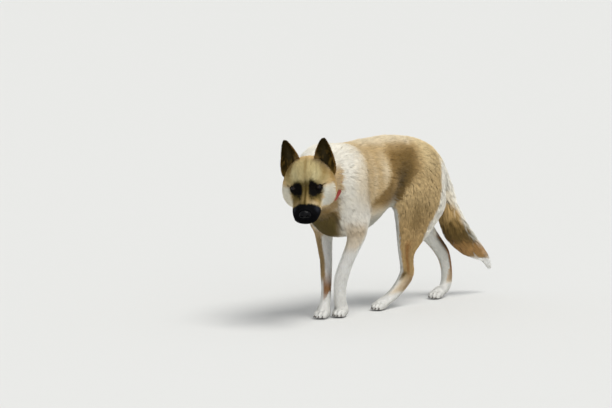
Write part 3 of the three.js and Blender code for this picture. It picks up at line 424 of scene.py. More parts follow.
def draw_surface(f, lo, hi, h, fine, times=4, levels=3, slack=2.0):
    """Quads of the surface f = 0, by surface nets with one vertex a cell: cells of h, and of h / times where fine(p) is true.
    Where small cells meet a large one they share its vertex, so there is no open seam."""
    lo, hi = np.asarray(lo, float), np.asarray(hi, float)
    H = h * 2 ** levels
    n = np.ceil((hi - lo) / H).astype(np.int64)
    cells = np.stack(np.meshgrid(*[np.arange(k) for k in n], indexing="ij"), -1).reshape(-1, 3)
    for lev in range(levels + 1):
        size = H / 2 ** lev
        v = np.abs(f(lo + (cells + 0.5) * size))
        cells = cells[v < size * 0.87 * slack + 2]
        if lev < levels:
            cells = (cells[:, None] * 2 + CORNER[None]).reshape(-1, 3)
    is_fine = fine(lo + (cells + 0.5) * h)
    big, small = cells[~is_fine], cells[is_fine]
    step_ = times
    size = h
    small_base = small
    while step_ > 1:
        small = (small[:, None] * 2 + CORNER[None]).reshape(-1, 3)
        size /= 2
        step_ //= 2
        v = np.abs(f(lo + (small + 0.5) * size))
        small = small[v < size * 0.87 * slack + 1.2]
    dims = n * 2 ** levels * times + 3
    key = lambda c: (c[:, 0] * dims[1] + c[:, 1]) * dims[2] + c[:, 2]
    hs = h / times
    # everything in units of the small cell
    sets = []
    for cs, w in ((big * times, times), (small, 1)):
        cor = (cs[:, None] + CORNER[None] * w).reshape(-1, 3)
        ck = key(cor)
        uk, first, inv = np.unique(ck, return_index=True, return_inverse=True)
        V = f(lo + cor[first] * hs)[inv.reshape(-1)].reshape(-1, 8)
        mixed = (V.min(1) < 0) & (V.max(1) >= 0)
        cs, V = cs[mixed], V[mixed]
        acc, cnt = np.zeros((len(cs), 3)), np.zeros(len(cs))
        for a, b in EDGE:
            va, vb = V[:, a], V[:, b]
            x = (va < 0) != (vb < 0)
            t = np.where(x, va / np.where(x, va - vb, 1), 0)
            acc[x] += (CORNER[a] + t[:, None] * (CORNER[b] - CORNER[a]))[x]
            cnt += x
        sets.append((cs, V, lo + (cs + w * acc / cnt[:, None]) * hs, w))
    nb = len(sets[0][0])
    verts = np.vstack([sets[0][2], sets[1][2]])
    kb, ks = key(sets[0][0]), key(sets[1][0])
    ob, os_ = np.argsort(kb), np.argsort(ks)
    kb, ks = kb[ob], ks[os_]

    def find(c, sorted_keys, order, offset):
        k = key(c)
        j = np.minimum(np.searchsorted(sorted_keys, k), len(sorted_keys) - 1)
        return np.where(sorted_keys[j] == k, order[j] + offset, -1)

    in_big = lambda c: find((c // times) * times, kb, ob, 0)
    in_small = lambda c: find(c, ks, os_, nb)
    fine_key = np.sort(key(small_base * times))

    def owner(c):
        """The cell that holds the small cell c."""
        i = in_small(c)
        return np.where(i < 0, in_big(c), i)

    quads = []
    for axis in range(3):
        e1, e2 = np.zeros(3, np.int64), np.zeros(3, np.int64)
        e1[(axis + 1) % 3], e2[(axis + 2) % 3] = 1, 1
        b = int(np.where((CORNER == np.eye(3, dtype=int)[axis]).all(1))[0][0])
        # edges of the small cells, each taken once: from every small cell, all four edges along this axis
        cs, V, _, _ = sets[1]
        corners4 = [np.zeros(3, np.int64), e1, e2, e1 + e2]
        base, flip = [], []
        for o in corners4:
            ia = int(np.where((CORNER == o).all(1))[0][0])
            ib = int(np.where((CORNER == o + np.eye(3, dtype=int)[axis]).all(1))[0][0])
            x = (V[:, ia] < 0) != (V[:, ib] < 0)
            base.append(cs[x] + o)
            flip.append(V[x, ia] >= 0)
        base, flip = np.vstack(base), np.concatenate(flip)
        if len(base):
            _, first = np.unique(key(base), return_index=True)
            base, flip = base[first], flip[first]
            ids = np.stack([owner(base), owner(base - e1), owner(base - e1 - e2), owner(base - e2)], 1)
            good = (ids >= 0).all(1)
            ids, flip = ids[good], flip[good]
            ids[flip] = ids[flip][:, ::-1]
            quads.append(ids)
        # edges of the large cells that no small cell touches
        cs, V, _, _ = sets[0]
        va, vb = V[:, 0], V[:, b]
        x = (va < 0) != (vb < 0)
        base, flip = cs[x], va[x] >= 0
        around = [base, base - e1 * times, base - (e1 + e2) * times, base - e2 * times]
        ids = np.stack([find(c, kb, ob, 0) for c in around], 1)
        touched = np.zeros(len(base), bool)
        for c in around:
            k = key(c)
            j = np.minimum(np.searchsorted(fine_key, k), max(len(fine_key) - 1, 0))
            touched |= (fine_key[j] == k) if len(fine_key) else False
        good = (ids >= 0).all(1) & ~touched
        ids, flip = ids[good], flip[good]
        ids[flip] = ids[flip][:, ::-1]
        quads.append(ids)
    quads = np.concatenate(quads)
    # keep only the vertices that the quads use, and number them again
    used = np.unique(quads)
    renum = np.full(len(verts), -1)
    renum[used] = np.arange(len(used))
    return verts[used], renum[quads], (used >= nb)


def triangles_of(quads):
    t = np.concatenate([quads[:, [0, 1, 2]], quads[:, [0, 2, 3]]])
    return t[(t[:, 0] != t[:, 1]) & (t[:, 1] != t[:, 2]) & (t[:, 2] != t[:, 0])]


def draw_onto(f, p, steps, limit):
    p = p.copy()
    for _ in range(steps):
        v = f(p)
        e = 0.5
        g = np.stack([f(p + d) - f(p - d) for d in np.eye(3) * e], 1) / (2 * e)
        st = v / np.maximum((g * g).sum(1), 0.08)
        d = g * st[:, None]
        ln = np.linalg.norm(d, axis=1)
        d *= np.minimum(1, limit / np.maximum(ln, 1e-9))[:, None]
        p -= d
    return p


def neighbour_mean(n, tri, values):
    a = np.concatenate([tri[:, [0, 1]], tri[:, [1, 2]], tri[:, [2, 0]]])
    a = np.concatenate([a, a[:, ::-1]])
    cnt = np.bincount(a[:, 0], minlength=n).astype(float)
    out = np.stack([np.bincount(a[:, 0], values[a[:, 1], c], minlength=n) for c in range(values.shape[1])], 1)
    return out / np.maximum(cnt, 1)[:, None]


def normals_of(V, tri):
    c = np.cross(V[tri[:, 1]] - V[tri[:, 0]], V[tri[:, 2]] - V[tri[:, 0]])
    out = np.zeros_like(V)
    for k in range(3):
        for d in range(3):
            out[:, d] += np.bincount(tri[:, k], c[:, d], minlength=len(V))
    return unit(out)


def fine_here(p):
    h = to_head(np.asarray(p, float))
    face = (h[:, 1] > -42) & (np.abs(h[:, 0]) < 84) & (h[:, 2] > -95) & (h[:, 2] < 60)
    ears = (h[:, 2] > 34 - 50 * (np.abs(h[:, 0]) > 30)) & (np.abs(h[:, 0]) > 14) & (h[:, 1] > -115) & (h[:, 1] < -30)
    return face | ears | (p[:, 2] < 40)


def make_skin():
    lo, hi = np.array([-150, -370, -12.0]), np.array([210, 905, 668.0])
    V, Q, small = draw_surface(skin_at, lo, hi, 5.6, fine_here)
    limit = np.where(small, 0.8, 2.6)
    T = triangles_of(Q)
    V = draw_onto(skin_at, V, 1, limit)
    V = V + 0.4 * (neighbour_mean(len(V), T, V) - V)
    V = draw_onto(skin_at, V, 1, limit)
    V[:, 2] = np.maximum(V[:, 2], 0.6)
    return V, Q, T
# ------------------------------------------------------------------ colours of the coat
def srgb(r, g, b):
    c = np.array([r, g, b]) / 255
    return np.where(c <= 0.04045, c / 12.92, ((c + 0.055) / 1.055) ** 2.4)


WHITE, CREAM, SNOW = srgb(238, 233, 220), srgb(230, 216, 187), srgb(243, 242, 238)
FAWN, TAN, RUST = srgb(216, 190, 144), srgb(192, 158, 102), srgb(152, 104, 56)
BROWN, DARK, BLACK = srgb(125, 97, 43), srgb(66, 52, 18), srgb(9, 9, 11)
GREY = srgb(190, 189, 178)
OLIVE, STRAW = srgb(98, 84, 42), srgb(184, 172, 124)


def noise(p, size, seed=0):
    q = p / size + 100
    i = np.floor(q).astype(np.int64)
    f = q - i
    f = f * f * (3 - 2 * f)
    out = np.zeros(len(p))
    for c in CORNER:
        j = i + c
        k = (j[:, 0] * 73856093 ^ j[:, 1] * 19349663 ^ j[:, 2] * 83492791 ^ seed * 40503) & 0xFFFFFFFF
        k = ((k ^ (k >> 13)) * 1274126177) & 0xFFFFFFFF
        out += ((k ^ (k >> 16)) & 0xFFFF) / 65535.0 * np.prod(np.where(c, f, 1 - f), axis=1)
    return out * 2 - 1


def over(c, mask, colour):
    return c + (colour - c) * np.clip(mask, 0, 1)[:, None]


def bump(*terms):
    """A soft round patch: pairs of offset and half width."""
    return np.exp(-sum((a / b) ** 2 for a, b in terms))


def markings(p, n, w, ear):
    """The coat's colour at a place, partly with painted shade, from the normal there, what it belongs to, and 1 on an
    ear's outside or 2 inside it.
    """
    rough = noise(p, 34, 1) + 0.5 * noise(p, 13, 2)
    streak = noise(p * [1, 0.35, 1], 7, 4)
    x = p[:, 0]
    y, z = p[:, 1] + 7 * rough + 3 * streak, p[:, 2] + 6 * noise(p, 30, 3)
    side = np.abs(x)
    flank = step(0.15, 0.5, np.abs(n[:, 0]))
    # trunk and neck: white neck and shoulders, golden ribs, brown saddle, golden rump, white behind
    c = np.tile(WHITE, (len(p), 1))
    c = over(c, 0.45 * step(560, 600, z) * step(-60, 40, y), CREAM)
    c = over(c, 0.45 * bump((y - 4, 30), (z - 480, 70)), FAWN)
    c = over(c, 0.92 * step(-14, 84, y) * step(330, 400, z), FAWN)
    c = over(c, 0.55 * step(20, 120, y) * flank * step(340, 400, z), TAN)
    c = over(c, 0.85 * step(-84, -102, p[:, 1] + 5 * rough) * step(380, 420, z) * step(560, 520, z), TAN)
    # the tan neck made brown below the head: tan coat with painted shade under the head
    c = over(c, 0.60 * step(-70, -98, p[:, 1] + 5 * rough) * step(380, 420, z) * step(470, 425, z), BROWN)
    c = over(c, 0.35 * bump((y - 60, 12), (z - 470, 70)) * flank, BROWN)
    c = over(c, 0.35 * bump((y - 112, 16), (z - 480, 90)), CREAM)
    c = over(c, 0.65 * bump((y - 172, 24), (z - 510, 52)), CREAM)
    # the flank made brown towards its bottom: painted shade
    c = over(c, 0.5 * step(370, 340, z) * step(30, 90, y) * flank, BROWN)
    front = table(z, [380, 400, 420, 440, 455, 480, 575, 600], [74, 96, 122, 152, 180, 202, 209, 219])
    rear = table(z, [360, 400, 440, 480, 520, 575], [330, 350, 352, 372, 392, 400])
    saddle = step(front - 20, front + 26, y) * (1 - step(rear - 55, rear + 50, y)) * (1 - step(560, 618, z)) * step(366, 404, z)
    c = over(c, 0.90 * saddle, srgb(130, 99, 44))
    # the saddle's dark core: brown coat, partly darkened as painted shade in the flank's hollow
    c = over(c, 0.68 * saddle * bump((y - 290 - 0.35 * (z - 480), 58), (z - 470, 86)) * (1 + 0.3 * streak), DARK)
    c = over(c, 0.45 * saddle * bump((y - 236, 20), (z - 462, 34)), TAN)
    c = over(c, 0.70 * step(584, 616, z) * step(60, 140, y), CREAM)
    rump = step(372, 430, y)
    c = over(c, 0.78 * rump * (1 - step(560, 600, z)), srgb(204, 170, 112))
    c = over(c, 0.85 * rump * step(425, 515, z), srgb(226, 204, 158))
    c = over(c, 0.20 * rump * bump((y - 400, 26), (z - 430, 60)), BROWN)
    c = over(c, 0.22 * rump * step(430, 380, z), BROWN)
    behind = table(z, [240, 270, 306, 330, 367, 400, 458, 520], [424, 432, 447, 462, 480, 490, 505, 520])
    c = over(c, step(-9, 9, p[:, 1] + 5 * rough + 4 * streak - behind) * (1 - step(515, 545, z)), WHITE)
    # faces turned down under the belly are greyed: white coat with painted shade
    under = step(-0.25, -0.7, n[:, 2])
    c = over(c, 0.9 * under * step(20, 60, y), GREY)
    # breast: tan under the chin, between the pale shoulders, going brown and dark olive lower down: tan coat with
    # painted shade under the head and between the forelegs
    edge = 58 + 0.45 * np.clip(z - 332, -40, 200)
    breast = step(edge + 12, edge - 14, side) * step(30, -25, p[:, 1]) * step(446, 404, z)
    c = over(c, 0.90 * breast, TAN)
    c = over(c, 0.85 * breast * step(440, 395, z), BROWN)
    c = over(c, 0.75 * breast * step(410, 335, z), srgb(70, 64, 26))
    # a dark line in the crease between breast and shoulder: painted shade
    crease_shade = np.abs((side - 62) - 0.05 * (z - 340) + 3 * rough)
    c = over(c, 0.75 * np.exp(-(crease_shade / 6) ** 2) * step(388, 368, z) * step(300, 322, z) * step(10, -20, p[:, 1]), DARK)
    body = c
    # tail: grey cream above, golden then dark brown below, white tip
    t = np.tile(WHITE, (len(p), 1))
    lower = step(0.45, -0.2, n[:, 1] * 0.8 + n[:, 2] * 0.6 + 0.25 * streak)
    t = over(t, 0.35 * step(0.2, -0.4, n[:, 1]), FAWN)
    t = over(t, 0.95 * lower * step(372, 320, z), TAN)
    t = over(t, 0.75 * lower * step(320, 262, z), BROWN)
    t = over(t, 0.75 * bump((z - 228, 44)) * step(0.9, 0.2, n[:, 1] * 0.8 + n[:, 2] * 0.6 + 0.2 * streak), DARK)
    t = over(t, 0.5 * (1 - lower) * step(320, 240, z), GREY)
    t = over(t, 0.85 * bump((z - 172, 26)), RUST)
    t = over(t, 0.35 * bump((z - 172, 26)), TAN)
    t = over(t, step(148, 134, z), SNOW)
    # forelegs: the left white with tan at the elbow, the right olive tan outside with a brown strip
    f = np.tile(SNOW, (len(p), 1))
    f = over(f, 0.30 * step(250, 330, z), CREAM)
    f = over(f, 0.60 * bump((z - 305, 34)) * step(0.5, -0.1, n[:, 1]) * (x > 0), TAN)
    f = over(f, 0.45 * bump((z - 262, 26)) * step(0.3, -0.3, n[:, 1]) * (x > 0), FAWN)
    f = over(f, 0.85 * (x < 0) * step(0.72, 0.42, n[:, 0]) * step(112, 150, z), TAN)
    f = over(f, 0.50 * (x < 0) * step(0.72, 0.42, n[:, 0]) * step(112, 150, z) * step(320, 240, z), BROWN)
    f = over(f, 0.95 * (x < 0) * bump((z - 104, 38)) * step(-0.1, 0.25, n[:, 0]) * step(58, 72, z), RUST)
    # hind legs
    h = np.tile(SNOW, (len(p), 1))
    outer_ = step(0.15, 0.55, n[:, 0] * np.sign(x) + 0.12 * streak)
    # the inner side of each hind leg is greyed: white coat with painted shade
    h = over(h, 0.45 * (1 - outer_), GREY)
    h = over(h, 0.95 * outer_ * step(88, 122, z), TAN)
    h = over(h, 0.50 * outer_ * step(290, 420, z), srgb(222, 196, 146))
    h = over(h, 0.30 * outer_ * step(0.1, 0.7, streak) * step(150, 220, z), BROWN)
    # brown and, on the left leg, a darker patch at the front of the thigh: painted shade from the flank
    h = over(h, 0.45 * outer_ * bump((z - 340, 60), (y - 372, 50)), BROWN)
    h = over(h, 0.30 * outer_ * bump((y - 356, 20), (z - 350, 55)) * (x > 0), DARK)
    h = over(h, 0.75 * outer_ * bump((n[:, 1] + 0.30, 0.17)) * step(98, 125, z) * step(262, 225, z), RUST)
    h = over(h, 0.45 * outer_ * step(-0.75, -0.95, n[:, 1]) * step(98, 125, z) * step(262, 225, z), BROWN)
    behind = np.where(x > 0, behind, table(z, [262, 300, 350, 405, 458], [624, 590, 567, 552, 540]))
    h = over(h, step(-8, 8, p[:, 1] + 4 * rough + 4 * streak - behind) * step(226, 250, z), WHITE)
    h = over(h, 0.85 * outer_ * bump((z - 118, 13), (n[:, 1] + 0.72, 0.30)) * (x > 0), DARK)
    h = over(h, 0.70 * step(-0.8, -0.3, n[:, 1]) * step(0.1, 0.4, n[:, 0]) * step(40, 66, z) * step(132, 106, z) * (x > 0), FAWN)
    h = over(h, 0.55 * step(-0.5, 0.1, n[:, 1]) * step(0.1, 0.4, n[:, 0]) * step(52, 75, z) * step(132, 106, z) * (x > 0), RUST)
    h = over(h, 0.92 * (x < 0) * step(-0.12, 0.16, n[:, 1]) * step(0.93, 0.72, n[:, 1]) * step(66, 90, z) * step(252, 222, z), RUST)
    h = over(h, 0.70 * (x < 0) * step(-0.30, 0.10, n[:, 1]) * bump((z - 200, 26)), DARK)
    h = over(h, step(66, 42, z), SNOW)
    # head
    q = to_head(p)
    l, a, u = np.abs(q[:, 0]), q[:, 1] + 2.0 * rough, q[:, 2] + 1.4 * noise(p, 9, 5)
    k = np.tile(FAWN, (len(p), 1))
    k = over(k, 0.55 * step(0, -55, a), TAN)
    k = over(k, 0.70 * step(4, 22, u) * step(-75, -45, a), STRAW)
    k = over(k, 0.45 * bump((l - 30, 14), (u - 36, 14)) * step(-75, -30, a), srgb(206, 202, 164))
    k = over(k, 0.40 * bump((l - 52, 12), (u - 24, 10)) * step(-60, -30, a), BROWN)
    k = over(k, 0.40 * bump((l, 6)) * step(24, 36, u) * step(-95, -60, a), BROWN)
    k = over(k, 0.28 * step(0.0, 0.7, noise(p @ HEAD_AXES.T * [1, 0.3, 0.3], 6, 12)) * step(10, 30, u), BROWN)
    k = over(k, 0.65 * bump((l - 62, 17), (u - 40, 20), (a + 56, 28)), BROWN)
    k = over(k, 0.60 * bump((l - 44 - 0.55 * (54 - u), 7)) * step(20, 34, u) * step(72, 60, u), BROWN)
    # sides of the face white, with a tan edge before the neck
    fray = 3.0 * noise(p, 7, 16)
    cheek = step(45, 57, l + fray) * step(9, -6, u + fray + 0.35 * np.clip(l - 54, 0, 30)) * step(26, 6, a)
    cheek = np.maximum(cheek, step(38, 50, l + fray) * step(-28, -40, u) * step(46, 32, a) * step(-76, -64, u))
    k = over(k, cheek, srgb(226, 224, 212))
    k = over(k, 0.45 * cheek * bump((l - 66, 12), (u + 44, 34)) * step(6, -22, a), GREY)
    k = over(k, 0.30 * cheek * np.where(q[:, 0] < 0, 1.0, step(-2, -20, a)), CREAM)
    k = over(k, 0.92 * step(-37, -47, a) * step(30, 10, u), TAN)
    k = over(k, 0.35 * step(-50, -66, a) * step(30, 10, u), BROWN)
    k = over(k, 0.8 * step(-66, -80, u) * step(40, 20, a), FAWN)
    k = over(k, 0.5 * step(-70, -90, u) * step(10, -20, a), BROWN)
    # brown between and below the eyes, paler towards the muzzle, a dark line down the ridge
    # lit is the dog's left side of the face: it is painted paler and the right side darker, as painted light and shade
    lit = step(-4, 10, q[:, 0])
    k = over(k, 0.85 * step(-10, 8, a) * step(32, 16, u) * step(24, 12, l), OLIVE)
    k = over(k, 0.90 * step(0, 14, a) * step(50, 40, l) * step(-48, -34, u), OLIVE)
    k = over(k, 0.55 * lit * step(18, 30, a) * step(48, 40, l) * step(-46, -34, u), srgb(150, 132, 84))
    k = over(k, 0.35 * step(10, 20, a) * step(40, 30, a) * step(40, 30, l) * step(-40, -30, u), DARK)
    k = over(k, (0.25 + 0.45 * lit) * bump((l - 22, 17)) * step(34, 50, a + 0.5 * l) * step(-44, -34, u), TAN)
    k = over(k, (0.12 + 0.28 * lit) * bump((l - 24, 14)) * step(46, 60, a + 0.5 * l) * step(-44, -34, u), CREAM)
    k = over(k, 0.60 * bump((l - 9, 5)) * step(10, 24, a) * step(66, 50, a), srgb(176, 150, 104))
    k = over(k, 0.75 * bump((l, 3.4)) * step(-4, 12, a), DARK)
    # black round the eyes
    soft = 3.4 * noise(p, 5, 15)
    hi = np.where(q[:, 0] > 0, table(l, [6, 10, 14, 20, 28, 37, 47, 54], [-4, 15, 24, 25, 20, 12.5, 5, -1]),
                  table(l, [7, 11, 15, 21, 28, 37, 47, 54], [-6, 4, 14, 21, 22, 14, 5, -1])) + soft
    lo = table(l, [5, 8, 13, 20, 28, 37, 45, 54], [0, -4, -10, -15, -17, -17, -13.5, -4]) + soft
    facing = step(-34, -22, a)
    k = over(k, 0.75 * step(-8, 7, hi + 6 - u) * step(-9, 6, u - lo + 6) * step(3, 9, l) * step(61, 47, l) * facing, OLIVE * 0.75)
    k = over(k, step(-5, 4, hi - u) * step(-5, 4, u - lo) * step(6, 12, l - 2 * (q[:, 0] < 0)) * step(56, 48, l) * facing, BLACK)
    k = over(k, 0.9 * bump((u - 3.5 - 0.35 * (l - 47), 2.8)) * step(42, 48, l) * step(64, 55, l) * facing, DARK)
    # black muzzle
    back = 71 - 0.76 * np.clip(l - 6, 0, 60) + 0.25 * np.clip(-u - 62, 0, 40)
    mask = step(-4, 3, a - back + 2.5 * noise(p, 6, 8))
    k = over(k, mask, BLACK)
    k = over(k, 0.6 * mask * bump((l - 34, 9), (u + 42, 9)) * step(76, 62, a), srgb(52, 54, 62))
    k = over(k, 0.75 * bump((u + 62 + 0.2 * (a - 20), 3)) * step(6, 16, a) * step(44, 34, a), DARK)
    k = over(k, 0.5 * bump((l - 44, 4), (u + 50, 7), (a - 31, 6)), DARK)
    # ears
    k = over(k, (ear == 1) * 0.85, TAN)
    k = over(k, (ear == 1) * 0.65 * step(20, 90, q[:, 2]), BROWN)
    tuft = noise(p * [1, 1, 0.25], 5, 9)
    k = over(k, (ear == 2) * 1.0, DARK * 0.40)
    k = over(k, (ear == 2) * 0.55 * step(0.1, 0.6, tuft) * step(110, 40, q[:, 2]), BROWN)
    k = over(k, (ear == 2) * 0.7 * step(43, 33, l) * step(90, 45, q[:, 2]), TAN * 0.7)
    rows = np.array(EAR, float)
    across = np.abs(l - np.interp(q[:, 2], rows[:, 2], rows[:, 0])) / np.interp(q[:, 2], rows[:, 2], rows[:, 3])
    k = over(k, (ear == 2) * 0.75 * step(0.66, 0.98, across + 0.08 * tuft) * step(132, 100, q[:, 2]), srgb(140, 106, 58))
    k = over(k, (ear == 2) * 0.22 * bump((across, 0.34), (q[:, 2] - 70, 34)), srgb(96, 88, 68))
    out = w[:, 0:1] * body + w[:, 1:2] * t + (w[:, 2:3] + w[:, 3:4]) * f + (w[:, 4:5] + w[:, 5:6]) * h + w[:, 6:7] * k
    foot = bump((l - 66, 15), (q[:, 2] - 8, 17), (q[:, 1] + 68, 24))
    out = over(out, np.where(ear == 0, 0.95, 0.8) * foot, BROWN)
    pad = step(7, 3, p[:, 2]) * step(-0.6, -0.85, n[:, 2])
    return over(out, pad, srgb(52, 44, 42))


# ------------------------------------------------------------------ the lie and length of the coat
def lean(n, v):
    """v laid into the surface with normal n."""
    v = v - (v * n).sum(1, keepdims=True) * n
    return unit(v)


def lie_of(p, n, w, ear):
    x, y, z = p.T
    N = len(p)
    vec = lambda a, b, c: np.stack([a + np.zeros(N), b + np.zeros(N), c + np.zeros(N)], 1)
    nx = np.abs(n[:, 0])
    body = vec(0, 1, -0.32 * nx)
    body = over(body, step(120, 40, y) * step(-70, -20, y) * step(510, 430, z), vec(0, 0.55, -0.85))
    body = over(body, step(10, -60, y), vec(-0.33, 0.9, -0.55 * nx))
    body = over(body, step(-0.1, -0.6, n[:, 1]) * step(490, 430, z) * step(60, -20, y), vec(0, 0.25, -1))
    body = over(body, step(390, 470, y) * step(0.9, 0.5, n[:, 2]), vec(0, 0.7, -0.75))
    body = over(body, step(540, 580, y), vec(0, 0.3, -1))
    body = over(body, step(-0.35, -0.7, n[:, 2]) * step(40, 100, y), vec(0, 1, 0))
    F, L, U = HEAD_AXES[1], HEAD_AXES[0], HEAD_AXES[2]
    q = to_head(p)
    l, f, u = q[:, 0], q[:, 1], q[:, 2]
    fwd, lft, upp = (np.tile(v, (N, 1)) for v in (F, L, U))
    head = -fwd + 0.12 * lft * np.sign(l)[:, None] * step(2, 20, np.abs(l))[:, None] * step(30, 0, f)[:, None]
    head = over(head, step(25, 55, np.abs(l)) * step(15, -10, u), -fwd - 0.45 * upp + 0.1 * lft * np.sign(l)[:, None])
    head = over(head, step(20, 40, f) * step(16, 26, np.abs(l)), -fwd - 0.35 * upp)
    head = over(head, (ear > 0) * 1.0, upp + 0.12 * lft * np.sign(l)[:, None])
    out = w[:, 0:1] * unit(body) + w[:, 6:7] * unit(head)
    for k, tube in enumerate([TAIL_TUBE] + [leg[0] for leg in LEGS]):
        share = w[:, 1 + k]
        near = np.nonzero(share > 0.03)[0]
        _, along, _ = tube.at(np.ascontiguousarray(p[near], F4), more=True)
        i = np.minimum(along.astype(int), len(tube.T) - 2)
        t = (along - i)[:, None]
        T = unit(tube.T[i] * (1 - t) + tube.T[i + 1] * t)
        if k:
            Fw = paw_frame(*PAWS[k - 1])[0]
            T = over(T, step(50, 30, p[near, 2]), 0.9 * Fw - 0.5 * np.array([0, 0, 1.0]))
            T = T + np.array([0, 0.22, 0]) * step(220, 300, p[near, 2])[:, None]
        out[near] += share[near][:, None] * unit(T)
    return lean(n, out)


def coat_of(p, n, w, ear):
    """Length, width and spacing of the locks, in millimetres."""
    x, y, z = p.T
    body = np.stack([table(y, [-170, -100, 0, 100, 400, 480, 560], [36, 38, 33, 28, 27, 32, 38]),
                     table(y, [-170, -60, 60, 560], [2.3, 2.3, 2.1, 2.15]), table(y, [-170, -60, 60, 560], [2.75, 2.75, 2.62, 2.7])], 1)
    tail = np.stack([table(y, [590, 640, 700, 800, 860, 888], [42, 54, 58, 44, 27, 10]),
                     table(y, [590, 800, 888], [3.4, 3.2, 1.8]), table(y, [590, 800, 888], [3.7, 3.4, 1.9])], 1)
    zz = [0, 25, 45, 100, 220, 290, 360, 430]
    fore = np.stack([table(z, zz, [5, 6, 7, 8, 10, 16, 24, 30]), table(z, zz, [1.1, 1.2, 1.45, 1.7, 1.8, 2.0, 2.15, 2.15]),
                     table(z, zz, [1.9, 2.0, 2.4, 2.6, 2.65, 2.75, 2.8, 2.8])], 1)
    zz = [0, 25, 45, 120, 200, 260, 330, 400]
    hind = np.stack([table(z, zz, [5, 6, 7, 9, 12, 19, 27, 30]) + 16 * step(0.2, 0.7, n[:, 1]) * step(250, 310, z),
                     table(z, zz, [1.1, 1.2, 1.45, 1.75, 1.9, 2.1, 2.15, 2.15]), table(z, zz, [1.9, 2.0, 2.4, 2.7, 2.75, 2.8, 2.85, 2.8])], 1)
    q = to_head(p)
    l, f, u = np.abs(q[:, 0]), q[:, 1], q[:, 2]
    head = np.stack([table(f, [-110, -80, -50, -10, 30, 60, 90], [22, 18, 13, 8.5, 5.5, 4.2, 3.4]) + 8 * step(-30, -80, f) * step(30, 55, l) * step(15, -20, u),
                     table(f, [-110, -60, -10, 30, 90], [2.0, 1.7, 1.25, 0.95, 0.8]), table(f, [-110, -60, -10, 30, 90], [2.9, 2.5, 2.1, 1.75, 1.6])], 1)
    out = w[:, 0:1] * body + w[:, 1:2] * tail + (w[:, 2:3] + w[:, 3:4]) * fore + (w[:, 4:5] + w[:, 5:6]) * hind + w[:, 6:7] * head
    short = 1 - 0.6 * step(100, 124, q[:, 2])
    out[ear == 1] = np.stack([5.5 * short, 1.2 + 0 * u, 2.2 + 0 * u], 1)[ear == 1]
    out[ear == 2] = np.stack([7.5 * short, 1.0 + 0 * u, 2.5 + 0 * u], 1)[ear == 2]
    return out


def bare(p, n):
    """0 where no lock grows: between the lids, in the nose's socket and under the paws."""
    m = 1 - step(-0.5, -0.8, n[:, 2]) * step(9, 5, p[:, 2])
    for side in (1, -1):
        c, g, r, up = eye_frame(side)
        d = p - c
        m = m * step(EYE_R + 0.5, EYE_R + 4.5, np.sqrt((d * d).sum(1)))
    q = to_head(p)
    k = np.sqrt((((q - np.array(NOSE_AT)) / [21, 17, 17]) ** 2).sum(1))
    return m * step(0.98, 1.12, k)


# ------------------------------------------------------------------ meshes
def new_object(name, verts, faces, material, smooth=True):
    """verts in millimetres of the solids' own layout; faces as an array of triangles or of quads."""
    me = bpy.data.meshes.new(name)
    faces = np.asarray(faces)
    k = faces.shape[1]
    if k == 4:
        tri = (faces[:, 0] == faces[:, 1]) | (faces[:, 1] == faces[:, 2]) | (faces[:, 2] == faces[:, 3]) | (faces[:, 3] == faces[:, 0])
        loops, counts = [], []
        good = faces[~tri]
        loops.append(good.reshape(-1)); counts.append(np.full(len(good), 4))
        bad = faces[tri]
        keep = []
        for row in bad.tolist():
            seq = [v for i, v in enumerate(row) if v != row[i - 1]]
            if len(seq) == 3 and len(set(seq)) == 3:
                keep.append(seq)
        if keep:
            loops.append(np.array(keep).reshape(-1)); counts.append(np.full(len(keep), 3))
        loops, counts = np.concatenate(loops), np.concatenate(counts)
    else:
        loops, counts = faces.reshape(-1), np.full(len(faces), 3)
    me.vertices.add(len(verts))
    me.vertices.foreach_set("co", ((np.asarray(verts) - CENTRE) / 1000).astype(F4).reshape(-1))
    me.loops.add(len(loops))
    me.loops.foreach_set("vertex_index", loops.astype(np.int32))
    me.polygons.add(len(counts))
    me.polygons.foreach_set("loop_start", np.concatenate([[0], np.cumsum(counts)[:-1]]).astype(np.int32))
    me.polygons.foreach_set("loop_total", counts.astype(np.int32))
    me.update(calc_edges=True)
    if smooth:
        me.shade_smooth()
    me.materials.append(material)
    o = bpy.data.objects.new(name, me)
    bpy.context.collection.objects.link(o)
    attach(o, "root")
    return o


def give_colour(o, rgb, name="Col"):
    at = o.data.attributes.new(name, "FLOAT_COLOR", "POINT")
    at.data.foreach_set("color", np.hstack([np.clip(rgb, 0, 1), np.ones((len(rgb), 1))]).astype(F4).reshape(-1))


def nodes_for(name, roughness=0.8, **sockets):
    m = bpy.data.materials.new(name)
    m.use_nodes = True
    nt = m.node_tree
    b = nt.nodes["Principled BSDF"]
    b.inputs["Roughness"].default_value = roughness
    for k, v in sockets.items():
        b.inputs[k.replace("_", " ")].default_value = v
    return m, nt, b


def add_node(nt, kind, **values):
    n = nt.nodes.new(kind)
    for k, v in values.items():
        if hasattr(n, k):
            setattr(n, k, v)
        else:
            n.inputs[k.replace("_", " ")].default_value = v
    return n


